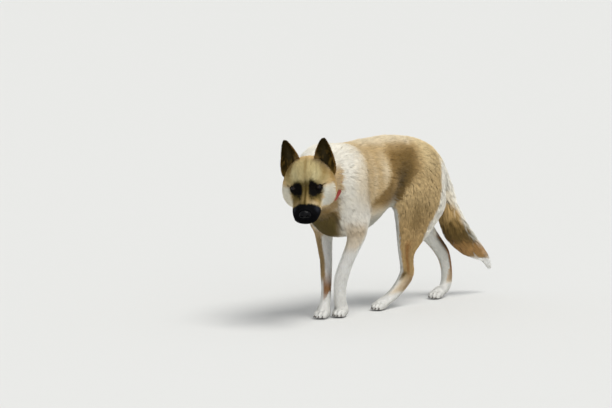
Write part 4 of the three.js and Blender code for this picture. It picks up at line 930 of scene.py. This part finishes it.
def fur_material(name, fine, strength, depth, roughness=0.82, sheen=0.10, shine=0.18):
    """Colour from the coat's own markings, broken up by fine noise, with a fine bump."""
    m, nt, b = nodes_for(name, roughness, Specular_IOR_Level=shine, Sheen_Weight=sheen, Sheen_Roughness=0.45)
    col = add_node(nt, "ShaderNodeAttribute", attribute_name="Col")
    geo = add_node(nt, "ShaderNodeTexCoord")
    nz = add_node(nt, "ShaderNodeTexNoise", Scale=fine, Detail=3.0, Roughness=0.6)
    nt.links.new(geo.outputs["Object"], nz.inputs["Vector"])
    ramp = add_node(nt, "ShaderNodeMapRange")
    for k, v in (("From Min", 0.3), ("From Max", 0.7), ("To Min", 1 - strength), ("To Max", 1 + strength)):
        ramp.inputs[k].default_value = v
    nt.links.new(nz.outputs["Fac"], ramp.inputs["Value"])
    mul = nt.nodes.new("ShaderNodeVectorMath"); mul.operation = "SCALE"
    nt.links.new(col.outputs["Color"], mul.inputs[0])
    nt.links.new(ramp.outputs["Result"], mul.inputs["Scale"])
    nt.links.new(mul.outputs["Vector"], b.inputs["Base Color"])
    bp = add_node(nt, "ShaderNodeBump", Strength=0.5, Distance=depth)
    nt.links.new(nz.outputs["Fac"], bp.inputs["Height"])
    nt.links.new(bp.outputs["Normal"], b.inputs["Normal"])
    return m


# ------------------------------------------------------------------ locks
def scatter(V, T, density, rng):
    """Places over the triangles, about density (a number for each vertex) to the square millimetre."""
    a = 0.5 * np.linalg.norm(np.cross(V[T[:, 1]] - V[T[:, 0]], V[T[:, 2]] - V[T[:, 0]]), axis=1)
    total = np.cumsum(a * density[T].mean(1))
    n = int(total[-1])
    at = np.arange(n) + rng.random(n)
    t = np.minimum(np.searchsorted(total, at), len(T) - 1)
    u, v = rng.random(n), rng.random(n)
    flip = u + v > 1
    u[flip], v[flip] = 1 - u[flip], 1 - v[flip]
    return t, np.stack([1 - u - v, u, v], 1)


COLLAR_SHOWS = np.array([120, -102, 438.0])   # the one place where the hair leaves the collar bare


def cover(p):
    """How far the hair stands over the collar, negative where the collar shows, and how far it spreads at the tail's end."""
    q = p - COLLAR_AT
    s = q @ COLLAR_N
    bare_ = step(34, 24, np.sqrt(((p - COLLAR_SHOWS) ** 2).sum(1)))
    brush = 5 * step(852, 880, p[:, 1])                 # the white hair at the tail's end spreads
    return np.where((q * q).sum(1) > 190 ** 2, brush, 11 * np.exp(-(s / 17) ** 2) * (1 - bare_) - 9 * np.exp(-(s / 19) ** 2) * bare_)


def level(p, n, h, reach):
    """Moves p along n to the share h of the way from the skin to the outside of the coat."""
    for _ in range(2):
        q = np.ascontiguousarray(p, F4)
        raw = raw_parts(q)
        d = depth_of(q, raw)
        v = combine(q, raw) + d * (1 - h) - cover(p) * h
        p = p - np.clip(v, -reach, reach)[:, None] * n
    return p


def slope_of(p):
    q = np.ascontiguousarray(p, F4)
    e = F4(1.5)
    v0 = outer(q)
    return unit(np.stack([outer(q + np.array(d, F4) * e) - v0 for d in ((1, 0, 0), (0, 1, 0), (0, 0, 1))], 1))


def clumps(P, spacing, rng):
    """For each place, the number of the lock at the heart of its clump."""
    from mathutils.kdtree import KDTree
    heart = np.nonzero(rng.random(len(P)) < spacing)[0]
    tree = KDTree(len(heart))
    for i, j in enumerate(heart):
        tree.insert(P[j], i)
    tree.balance()
    return heart[np.array([tree.find(q)[1] for q in P])]


LONG, SHORT = (0.0, 0.36, 0.74, 1.0), (0.0, 0.5, 1.0)
WIDTH = {LONG: (0.85, 1.0, 0.72), SHORT: (0.9, 0.85)}
RISE = {LONG: (-0.04, 0.72, 0.95, 1.0), SHORT: (-0.04, 0.82, 1.0)}


def grow(root, rng, kind):
    """Solid locks: three-sided, tapered to a point. root holds arrays for each lock."""
    P, n, d, L, W = (root[k] for k in ("P", "n", "d", "L", "W"))
    N = len(P)
    heart = clumps(P, root["clump"], rng)
    each, own = rng.standard_normal((N, 4)), rng.standard_normal((N, 4))
    group = each[heart]
    turn = 0.16 * noise(P, 70, 11) + 0.10 * noise(P, 24, 12) + 0.06 * group[:, 0] + 0.06 * own[:, 0]
    s = np.cross(n, d)
    d = d * np.cos(turn)[:, None] + s * np.sin(turn)[:, None]
    L = L * np.clip(1 + 0.13 * group[:, 1] + 0.12 * own[:, 1], 0.55, 1.4)
    high = np.clip(0.95 + 0.025 * group[:, 2] + 0.03 * own[:, 2], 0.8, 1.03)
    pts = []
    for t, r in zip(kind, RISE[kind]):
        h = r * high if r > 0 else np.full(N, r)
        p = P + d * (L * t)[:, None]
        plain = p + n * (h * root["thick"])[:, None]
        if t > 0:
            free = root["ear"] == 0
            plain[free] = level(plain[free], n[free], h[free].astype(F4), (0.7 * L[free]).astype(F4))
        pts.append(plain)
    up = np.where((root["ear"] == 0)[:, None], slope_of(pts[-2]), n)
    for j, t in enumerate(kind):
        pull = root["pull"] * t ** 1.3
        move = (pts[j][heart] - pts[j]) * pull[:, None]
        ln = np.linalg.norm(move, axis=1)
        pts[j] = pts[j] + move * np.minimum(1, 0.35 * L / np.maximum(ln, 1e-6))[:, None]
    pts = [np.where((p[:, 2] < 0.8)[:, None], p * [1, 1, 0] + [0, 0, 0.8], p) for p in pts]
    R = len(kind) - 1
    verts = np.zeros((N, 3 * R + 1, 3))
    norms = np.zeros((N, 3 * R + 1, 3))
    for j in range(R):
        tan = unit(pts[j + 1] - pts[max(j - 1, 0)])
        m = unit(n + (up - n) * kind[j])
        side = unit(np.cross(tan, m))
        ridge = np.cross(side, tan)
        wd = (W * WIDTH[kind][j] * 0.5)[:, None]
        verts[:, 3 * j] = pts[j] - side * wd
        verts[:, 3 * j + 1] = pts[j] + ridge * wd * 0.62
        verts[:, 3 * j + 2] = pts[j] + side * wd
        soft = unit(m * 0.75 + ridge * 0.25)
        norms[:, 3 * j] = unit(soft - side * 0.30)
        norms[:, 3 * j + 1] = unit(soft + tan * 0.06)
        norms[:, 3 * j + 2] = unit(soft + side * 0.30)
    verts[:, -1] = pts[-1]
    norms[:, -1] = unit(up + 0.25 * unit(pts[-1] - pts[-2]))
    faces = []
    for j in range(R - 1):
        for a in range(3):
            b = (a + 1) % 3
            i0, i1, j0, j1 = 3 * j + a, 3 * j + b, 3 * j + 3 + a, 3 * j + 3 + b
            faces += [[i0, i1, j0], [i1, j1, j0]]
    for a in range(3):
        faces.append([3 * (R - 1) + a, 3 * (R - 1) + (a + 1) % 3, 3 * R])
    faces.append([0, 2, 1])
    faces = np.array(faces)
    seen = pts[-2]
    colour = markings(seen, up, root["w"], root["ear"])
    tone = 1 + 0.03 * group[:, 3] + 0.045 * own[:, 3] + 0.05 * noise(P, 20, 14)
    agouti = (rng.random(N) < 0.14) * (colour.mean(1) < 0.55) * (root["ear"] == 0)
    dark_tip = 1 - 0.30 * agouti
    tint = np.array([1 + 0.02, 1.0, 1 - 0.05])
    cols = np.zeros((N, 3 * R + 1, 3))
    # each lock is darkened towards its root by the coat's depth, as painted shade, and made a little paler towards its
    # tip, as painted light
    thick = np.clip(root["thick"] / 14, 0, 1)
    for j, t in enumerate(kind):
        g = (1 - (0.22 - 0.15 * step(0.45, 0.75, colour.mean(1))) * thick * (1 - t) ** 1.4) * (1 + 0.05 * t) * tone * (1 + (dark_tip - 1) * t)
        c = colour * g[:, None] * (1 + (tint - 1) * (1 - t))
        if j < R:
            cols[:, 3 * j: 3 * j + 3] = c[:, None]
            # the ridge of each lock is painted a little paler: painted highlight
            cols[:, 3 * j + 1] *= 1.05
        else:
            cols[:, -1] = c
    return verts, norms, cols, faces


def chart(P, which):
    """Place of each root on an unwrap of its part of the skin: round it and along it."""
    if which == "head":
        q = to_head(P)
        u, v = np.arctan2(q[:, 0], q[:, 2] + 25), q[:, 1] - 0.4 * q[:, 2]
    elif which == "ear":
        q = to_head(P)
        u, v = q[:, 0] + 60 * (q[:, 1] < -72), q[:, 2]
    elif which == "tail":
        _, v, u = TAIL_TUBE.at(np.ascontiguousarray(P, F4), more=True)
    elif which.startswith("leg"):
        _, v, u = LEGS[int(which[3])][0].at(np.ascontiguousarray(P, F4), more=True)
    else:
        u, v = np.arctan2(P[:, 0], P[:, 2] - 460), P[:, 1]
    span = lambda a: 0.01 + 0.98 * (a - a.min()) / max(np.ptp(a), 1e-6)
    return np.stack([span(u), span(v)], 1)


def coat_piece(name, root, rng, kind, material, which):
    verts, norms, cols, faces = grow(root, rng, kind)
    N, K = verts.shape[:2]
    tri = (np.arange(N)[:, None, None] * K + faces[None]).reshape(-1, 3)
    o = new_object(name, verts.reshape(-1, 3), tri, material)
    me = o.data
    give_colour(o, cols.reshape(-1, 3))
    uv = chart(root["P"], which)[:, None] + 0.0015 * np.array([[(-1, 0, 1)[k % 3] if k < K - 1 else 0, 2 * kind[k // 3] - 1] for k in range(K)])[None]
    layer = me.uv_layers.new(name="OFBake")
    layer.data.foreach_set("uv", np.clip(uv.reshape(-1, 2)[tri.reshape(-1)], 0.001, 0.999).astype(F4).reshape(-1))
    me.normals_split_custom_set_from_vertices(norms.reshape(-1, 3).astype(F4))
    return len(tri)
# ------------------------------------------------------------------ skin
V, Q, T = make_skin()
N = normals_of(V, T)
raw = raw_parts(np.ascontiguousarray(V, F4))
W_ = shares(raw, 9.0)
THICK = depth_of(np.ascontiguousarray(V, F4), raw)
leaf = ear_shell(np.ascontiguousarray(V, F4))
stands = combine(np.ascontiguousarray(V, F4), raw) + THICK      # how far the ears stand out of the plain skin
is_ear = (leaf < 2.5) & (to_head(V)[:, 2] > -16) & ((stands > 2.5) | (to_head(V)[:, 2] > 40))
THICK[is_ear] = 1.6
EAR_ = np.where(is_ear, np.where(N @ HEAD_AXES[1] > 0.1, 2, 1), 0)
W_[is_ear] = [0, 0, 0, 0, 0, 0, 1]
LIE = lie_of(V, N, W_, EAR_)
for _ in range(3):
    LIE = lean(N, 0.4 * LIE + 0.6 * neighbour_mean(len(V), T, LIE))
COAT = coat_of(V, N, W_, EAR_)
band = V - COLLAR_AT
near = np.exp(-((band @ COLLAR_N) / 24) ** 2) * ((band * band).sum(1) < 190 ** 2)      # thicker where it lies over the collar
COAT[:, 1] *= 1 + 0.25 * near
COAT[:, 2] *= 1 - 0.16 * near
fur_long = fur_material("fur_long", 420, 0.07, 0.0006)
fur_short = fur_material("fur_short", 900, 0.09, 0.0004, 0.9, 0.0, 0.06)
hide = fur_material("hide", 700, 0.12, 0.0012, 0.9, 0.0, 0.06)
skin = new_object("skin", V, Q, hide)
tone = markings(V, N, W_, EAR_)
# the skin is darkened by the depth of the coat over it: painted shade under the coat
tone = tone * (1 - (0.14 - 0.12 * step(0.45, 0.75, tone.mean(1))) * np.clip(THICK / 14, 0, 1))[:, None]
for side in (1, -1):
    c, g, r, up = eye_frame(side)
    R = np.linalg.norm(V - c, axis=1)
    tone = over(tone, step(EYE_R + 4.5, EYE_R + 2.2, R), srgb(14, 12, 12))
give_colour(skin, tone)
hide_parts("trunk", "neck", "tail", "foreleg_left", "foreleg_right", "paw_fore_left", "paw_fore_right",
            "hindleg_left", "hindleg_right", "paw_hind_left", "paw_hind_right", "ear_left", "ear_right", "head")

# ------------------------------------------------------------------ coat
density = bare(V, N) / COAT[:, 2] ** 2
ti, bc = scatter(V, T, density, RNG)
mixed = lambda a: (a[T[ti]] * (bc[:, :, None] if a.ndim > 1 else bc)).sum(1)
ROOT = {"P": mixed(V), "n": unit(mixed(N)), "d": unit(mixed(LIE)), "w": mixed(W_), "thick": mixed(THICK)}
cm = mixed(COAT)
ROOT["L"], ROOT["W"] = cm[:, 0], cm[:, 1]
ROOT["ear"] = EAR_[T[ti]].max(1)
ROOT["d"] = lean(ROOT["n"], ROOT["d"])
ROOT["pull"] = np.interp(ROOT["L"], [5, 12, 30, 40, 60], [0.1, 0.18, 0.24, 0.42, 0.58])
part = ROOT["w"].argmax(1)
whose = np.array(["body", "tail", "leg0", "leg1", "leg2", "leg3", "head"])[part]
whose[ROOT["ear"] > 0] = "ear"
total = 0
for which, title in (("body", "coat_trunk"), ("tail", "coat_tail"), ("leg0", "coat_foreleg_left"), ("leg1", "coat_foreleg_right"),
                     ("leg2", "coat_hindleg_left"), ("leg3", "coat_hindleg_right"), ("head", "coat_head"), ("ear", "coat_ears")):
    for kind, k_name, lo_, hi_ in ((LONG, "long", 40, 99), (SHORT, "middle", 19, 40), (SHORT, "short", 0, 19)):
        idx = np.nonzero((whose == which) & (ROOT["L"] > lo_) & (ROOT["L"] <= hi_))[0]
        if not len(idx):
            continue
        each = 16 if kind == LONG else 10
        n_pieces = int(math.ceil(len(idx) * each / 185000))
        idx = idx[np.argsort(ROOT["P"][idx, 1] + (400 * (ROOT["P"][idx, 0] > 0) if which in ("head", "ear") else 0))]
        for j, ids in enumerate(np.array_split(idx, n_pieces)):
            root = {k: v[ids] for k, v in ROOT.items()}
            root["clump"] = 1 / 9 if k_name == "short" else 1 / 16
            made = coat_piece(f"{title}_{k_name}_{j + 1}", root, RNG, kind, fur_short if k_name == "short" else fur_long, which)
            total += made
            print(f"{title}_{k_name}_{j + 1}: {made} triangles")
print("coat triangles", total, "skin triangles", len(T))

# ------------------------------------------------------------------ eyes
def ball_mesh(rings, around):
    """Directions of a ball with its pole along the third axis, and its faces."""
    th = np.linspace(0, math.pi, rings + 1)[1:-1]
    ph = np.arange(around) * 2 * math.pi / around
    d = np.array([[math.sin(a) * math.cos(b), math.sin(a) * math.sin(b), math.cos(a)] for a in th for b in ph])
    d = np.vstack([[[0, 0, 1]], d, [[0, 0, -1]]])
    f = []
    for b in range(around):
        f.append([0, 1 + b, 1 + (b + 1) % around])
    for a in range(len(th) - 1):
        for b in range(around):
            i, j = 1 + a * around + b, 1 + a * around + (b + 1) % around
            f += [[i, i + around, j], [j, i + around, j + around]]
    last = 1 + (len(th) - 1) * around
    for b in range(around):
        f.append([last + b, len(d) - 1, last + (b + 1) % around])
    return d, np.array(f)


eye_mat, nt, b = nodes_for("eye", 0.12, Specular_IOR_Level=0.16, Coat_Weight=0.18, Coat_Roughness=0.03)
col = add_node(nt, "ShaderNodeAttribute", attribute_name="Col")
nt.links.new(col.outputs["Color"], b.inputs["Base Color"])
for side, name in ((1, "left"), (-1, "right")):
    c, g, r, up = eye_frame(side)
    d, f = ball_mesh(48, 56)
    th = np.arccos(np.clip(d[:, 2], -1, 1))
    R = (EYE_R - 0.25) * (1 + 0.055 * np.clip(1 - (th / 0.72) ** 2, 0, 1))
    P = c + (d[:, :1] * r + d[:, 1:2] * up + d[:, 2:] * g) * R[:, None]
    ang = np.arctan2(d[:, 1], d[:, 0])
    rays = 0.5 + 0.25 * np.sin(ang * 23 + 2 * np.sin(ang * 7)) + 0.25 * np.sin(ang * 41 + 1)
    iris = srgb(36, 21, 11) * (0.55 + 0.55 * rays[:, None])
    k = over(np.tile(srgb(34, 26, 22), (len(d), 1)), step(0.98, 0.84, th), srgb(16, 11, 9))
    k = over(k, step(0.74, 0.66, th), iris)
    k = over(k, step(0.36, 0.31, th), srgb(4, 3, 3))
    o = new_object(f"eyeball_{name}", P, f, eye_mat)
    give_colour(o, k)
    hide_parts(f"eye_{name}")

# ------------------------------------------------------------------ nose leather
def nose_field(p):
    q = to_head(np.asarray(p, float)) - np.array(NOSE_AT)
    l, f, u = q.T
    s = HEAD_SCALE
    r = np.sqrt((l / 18.2) ** 2 + (f / 13.2) ** 2 + ((u + 0.12 * np.abs(l)) / (13.2 - 2.5 * step(0, -12, u))) ** 2 + 1e-9)
    v = (r - 1) * 13.5 * s
    L_ = np.abs(l)
    hole = np.sqrt(((L_ - 7.8) / 4.0) ** 2 + ((f - 12.5) / 7.5) ** 2 + ((u + 1.5 - 0.35 * (L_ - 7.8)) / 3.3) ** 2 + 1e-9)
    v = smooth_max(v, -(hole - 1) * 3.4 * s, 1.2)
    slit = np.sqrt(((L_ - 13.2) / 4.4) ** 2 + ((f - 9.5) / 6.0) ** 2 + ((u + 3.6 + 0.2 * (L_ - 13)) / 1.35) ** 2 + 1e-9)
    v = smooth_max(v, -(slit - 1) * 1.4 * s, 0.8)
    v = v + 1.1 * np.exp(-(l / 1.3) ** 2) * step(2, -5, u) * step(2, 8, f)
    return v.astype(F4)


nose_mat, nt, b = nodes_for("nose_leather", 0.36, Specular_IOR_Level=0.06, Coat_Weight=0.07, Coat_Roughness=0.14)
tc = add_node(nt, "ShaderNodeTexCoord")
vo = add_node(nt, "ShaderNodeTexVoronoi", Scale=900.0)
nt.links.new(tc.outputs["Object"], vo.inputs["Vector"])
rp = add_node(nt, "ShaderNodeValToRGB")
rp.color_ramp.elements[0].color = (0.0018, 0.0018, 0.0022, 1)
rp.color_ramp.elements[1].color = (0.0045, 0.0045, 0.0052, 1)
nt.links.new(vo.outputs["Distance"], rp.inputs["Fac"])
nt.links.new(rp.outputs["Color"], b.inputs["Base Color"])
bp = add_node(nt, "ShaderNodeBump", Strength=0.35, Distance=0.0005)
nt.links.new(vo.outputs["Distance"], bp.inputs["Height"])
nt.links.new(bp.outputs["Normal"], b.inputs["Normal"])
at = head_point(NOSE_AT)
nv, nq, _ = draw_surface(nose_field, at - 26, at + 26, 0.9, lambda p: np.zeros(len(p), bool), levels=2)
o = new_object("nose_tip", nv, nq, nose_mat)
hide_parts("nose")

# ------------------------------------------------------------------ claws
claw_mat, nt, b = nodes_for("claw", 0.38, Specular_IOR_Level=0.45)
tc = add_node(nt, "ShaderNodeTexCoord")
nz = add_node(nt, "ShaderNodeTexNoise", Scale=500.0, Detail=2.0)
rp = add_node(nt, "ShaderNodeValToRGB")
rp.color_ramp.elements[0].color = (0.035, 0.028, 0.024, 1)
rp.color_ramp.elements[1].color = (0.14, 0.11, 0.09, 1)
nt.links.new(tc.outputs["Object"], nz.inputs["Vector"])
nt.links.new(nz.outputs["Fac"], rp.inputs["Fac"])
nt.links.new(rp.outputs["Color"], b.inputs["Base Color"])
cv, cf = [], []
for at_, turn, size in PAWS:
    Fw, Ls, place = paw_frame(at_, turn, size)
    for l, f0 in TOES:
        a, e = place(l, f0 + 9, 12.5), place(l * 1.02, f0 + 22, 5.2)
        mid = (a + e) / 2 + np.array([0, 0, 3.2]) * size
        base = len(cv)
        rings, around = 9, 12
        for i in range(rings):
            t = i / (rings - 1)
            c0 = (1 - t) ** 2 * a + 2 * t * (1 - t) * mid + t * t * e
            tan = unit(2 * (1 - t) * (mid - a) + 2 * t * (e - mid))
            r = (3.1 * (1 - t) ** 0.75 + 0.35) * size
            nn = unit(np.cross(tan, Ls))
            for j in range(around):
                b_ = j * 2 * math.pi / around
                cv.append(c0 + Ls * math.cos(b_) * r * 0.72 + nn * math.sin(b_) * r)
        for i in range(rings - 1):
            for j in range(around):
                p0, p1 = base + i * around + j, base + i * around + (j + 1) % around
                cf += [[p0, p1, p0 + around], [p1, p1 + around, p0 + around]]
        for i, turn_ in ((0, 1), (rings - 1, -1)):
            cv.append(np.mean(cv[base + i * around: base + (i + 1) * around], axis=0))
            m = len(cv) - 1
            for j in range(around):
                p0, p1 = base + i * around + j, base + i * around + (j + 1) % around
                cf.append([m, p1, p0] if turn_ > 0 else [m, p0, p1])
claws = new_object("claws", np.array(cv), np.array(cf), claw_mat)

# ------------------------------------------------------------------ collar
band_mat, nt, b = nodes_for("collar_web", 0.62, Specular_IOR_Level=0.3, Sheen_Weight=0.15)
tc = add_node(nt, "ShaderNodeUVMap", uv_map="band")
mp = add_node(nt, "ShaderNodeMapping")
mp.inputs["Scale"].default_value = (1, 1, 1)
nt.links.new(tc.outputs["UV"], mp.inputs["Vector"])
wv = add_node(nt, "ShaderNodeTexWave", Scale=140.0, Distortion=0.0)
wv2 = add_node(nt, "ShaderNodeTexWave", Scale=140.0, Distortion=0.0, bands_direction="Y")
nt.links.new(mp.outputs["Vector"], wv.inputs["Vector"])
nt.links.new(mp.outputs["Vector"], wv2.inputs["Vector"])
mu = add_node(nt, "ShaderNodeMath", operation="MULTIPLY")
nt.links.new(wv.outputs["Fac"], mu.inputs[0])
nt.links.new(wv2.outputs["Fac"], mu.inputs[1])
rp = add_node(nt, "ShaderNodeValToRGB")
rp.color_ramp.elements[0].color = (*srgb(140, 34, 24), 1)
rp.color_ramp.elements[1].color = (*srgb(196, 62, 42), 1)
nt.links.new(mu.outputs["Value"], rp.inputs["Fac"])
nt.links.new(rp.outputs["Color"], b.inputs["Base Color"])
bp = add_node(nt, "ShaderNodeBump", Strength=0.5, Distance=0.0004)
nt.links.new(mu.outputs["Value"], bp.inputs["Height"])
nt.links.new(bp.outputs["Normal"], b.inputs["Normal"])


def collar_ring(depth, shift, count=180):
    """Points round the neck in the collar's plane, moved along it by shift, at a depth under the coat's outside."""
    e1 = unit(np.cross(COLLAR_N, [0, 0, 1.0]))
    e2 = np.cross(COLLAR_N, e1)
    ang = np.arange(count) * 2 * math.pi / count
    dirs = np.cos(ang)[:, None] * e1 + np.sin(ang)[:, None] * e2
    lo_, hi_ = np.full(count, 20.0), np.full(count, 190.0)
    c0 = COLLAR_AT + COLLAR_N * shift
    for _ in range(26):
        m = (lo_ + hi_) / 2
        v = fold(BODY, np.ascontiguousarray(c0 + dirs * m[:, None], F4)) + depth
        inside = v < 0
        lo_, hi_ = np.where(inside, m, lo_), np.where(inside, hi_, m)
    m = lo_
    for _ in range(4):
        m = 0.5 * m + 0.25 * (np.roll(m, 1) + np.roll(m, -1))
    return c0 + dirs * m[:, None]


half = COLLAR_WIDTH / 2 - 0.4
section = [(COLLAR_INNER - 0.3, -half), (COLLAR_INNER - 0.3, -half * 0.5), (COLLAR_INNER - 0.3, half * 0.5), (COLLAR_INNER - 0.3, half),
           ((COLLAR_INNER + COLLAR_OUTER) / 2, half + 0.3), (COLLAR_OUTER + 0.9, half), (COLLAR_OUTER + 0.25, half * 0.72), (COLLAR_OUTER + 0.3, half * 0.6),
           (COLLAR_OUTER + 0.25, 0), (COLLAR_OUTER + 0.3, -half * 0.6), (COLLAR_OUTER + 0.25, -half * 0.72), (COLLAR_OUTER + 0.9, -half),
           ((COLLAR_INNER + COLLAR_OUTER) / 2, -half - 0.3)]
rings_ = [collar_ring(a, s) for a, s in section]
count = len(rings_[0])
pv = np.concatenate(rings_)
pf, uvs = [], []
for i in range(len(section)):
    i2 = (i + 1) % len(section)
    for j in range(count):
        j2 = (j + 1) % count
        pf.append([i * count + j, i2 * count + j, i2 * count + j2, i * count + j2])
        uvs += [(j / count * 0.62, i * 0.004), (j / count * 0.62, (i + 1) * 0.004), ((j + 1) / count * 0.62, (i + 1) * 0.004), ((j + 1) / count * 0.62, i * 0.004)]
pf = np.array(pf)
collar = new_object("collar_band", pv, pf, band_mat)
lay = collar.data.uv_layers.new(name="band")
lay.data.foreach_set("uv", np.array(uvs, F4).reshape(-1))
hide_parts("collar")

# ------------------------------------------------------------------ floor, light and camera
floor_mat, nt, b = nodes_for("floor", 0.95, Specular_IOR_Level=0.05)
b.inputs["Base Color"].default_value = (0.69, 0.69, 0.675, 1)
me = bpy.data.meshes.new("floor")
me.from_pydata([(-400, -400, 0), (400, -400, 0), (400, 400, 0), (-400, 400, 0)], [], [(0, 1, 2, 3)])
me.materials.append(floor_mat)
floor = bpy.data.objects.new("floor", me)
bpy.context.collection.objects.link(floor)


def lamp(name, toward, strength, angle, colour=(1, 1, 1)):
    """A broad soft light from the direction toward."""
    from mathutils import Vector
    li = bpy.data.lights.new(name, "SUN")
    li.energy, li.angle, li.color = strength, math.radians(angle), colour
    o = bpy.data.objects.new(name, li)
    o.rotation_euler = Vector(toward).to_track_quat("Z", "Y").to_euler()
    o.location = (0, 0, 3)
    bpy.context.collection.objects.link(o)


lamp("key", (0.42, 0.05, 0.9), 2.15, 32, (1, 0.985, 0.955))
lamp("fill", (0.9, -0.9, 0.5), 0.5, 60, (0.97, 0.985, 1))
world = bpy.data.worlds.new("studio")
world.use_nodes = True
wt = world.node_tree
air = wt.nodes["Background"]                          # the light of the room
air.inputs["Color"].default_value = (0.95, 0.975, 1, 1)
air.inputs["Strength"].default_value = 0.55
wall = add_node(wt, "ShaderNodeBackground", Strength=1.0)   # what is seen beyond the floor, as pale as the floor
wall.inputs["Color"].default_value = (0.819, 0.8235, 0.803, 1)
path, both = wt.nodes.new("ShaderNodeLightPath"), wt.nodes.new("ShaderNodeMixShader")
wt.links.new(path.outputs["Is Camera Ray"], both.inputs[0])
wt.links.new(air.outputs[0], both.inputs[1])
wt.links.new(wall.outputs[0], both.inputs[2])
wt.links.new(both.outputs[0], wt.nodes["World Output"].inputs[0])
bpy.context.scene.world = world
bpy.context.scene.view_settings.view_transform = "Standard"

AZ, EL, DIST, FOCAL = math.radians(40.0), math.radians(5.4), 8000.0, 2280.0
right = np.array([math.cos(AZ), math.sin(AZ), 0])
back = np.array([math.sin(AZ) * math.cos(EL), -math.cos(AZ) * math.cos(EL), math.sin(EL)])
upw = np.cross(back, right)
C = (-(331.5 - 306) * DIST / FOCAL) * right + ((317.2 - 204) * DIST / FOCAL) * upw + DIST * back
from mathutils import Matrix
cam = bpy.data.cameras.new("camera")
cam.sensor_fit, cam.sensor_width, cam.lens = "HORIZONTAL", 36.0, FOCAL * 36 / 612
cam.clip_end = 900
cam_o = bpy.data.objects.new("camera", cam)
C = (C - CENTRE) / 1000
cam_o.matrix_world = Matrix([[right[i], upw[i], back[i], C[i]] for i in range(3)] + [[0, 0, 0, 1]])
bpy.context.collection.objects.link(cam_o)
bpy.context.scene.camera = cam_o

bpy.context.view_layer.update()
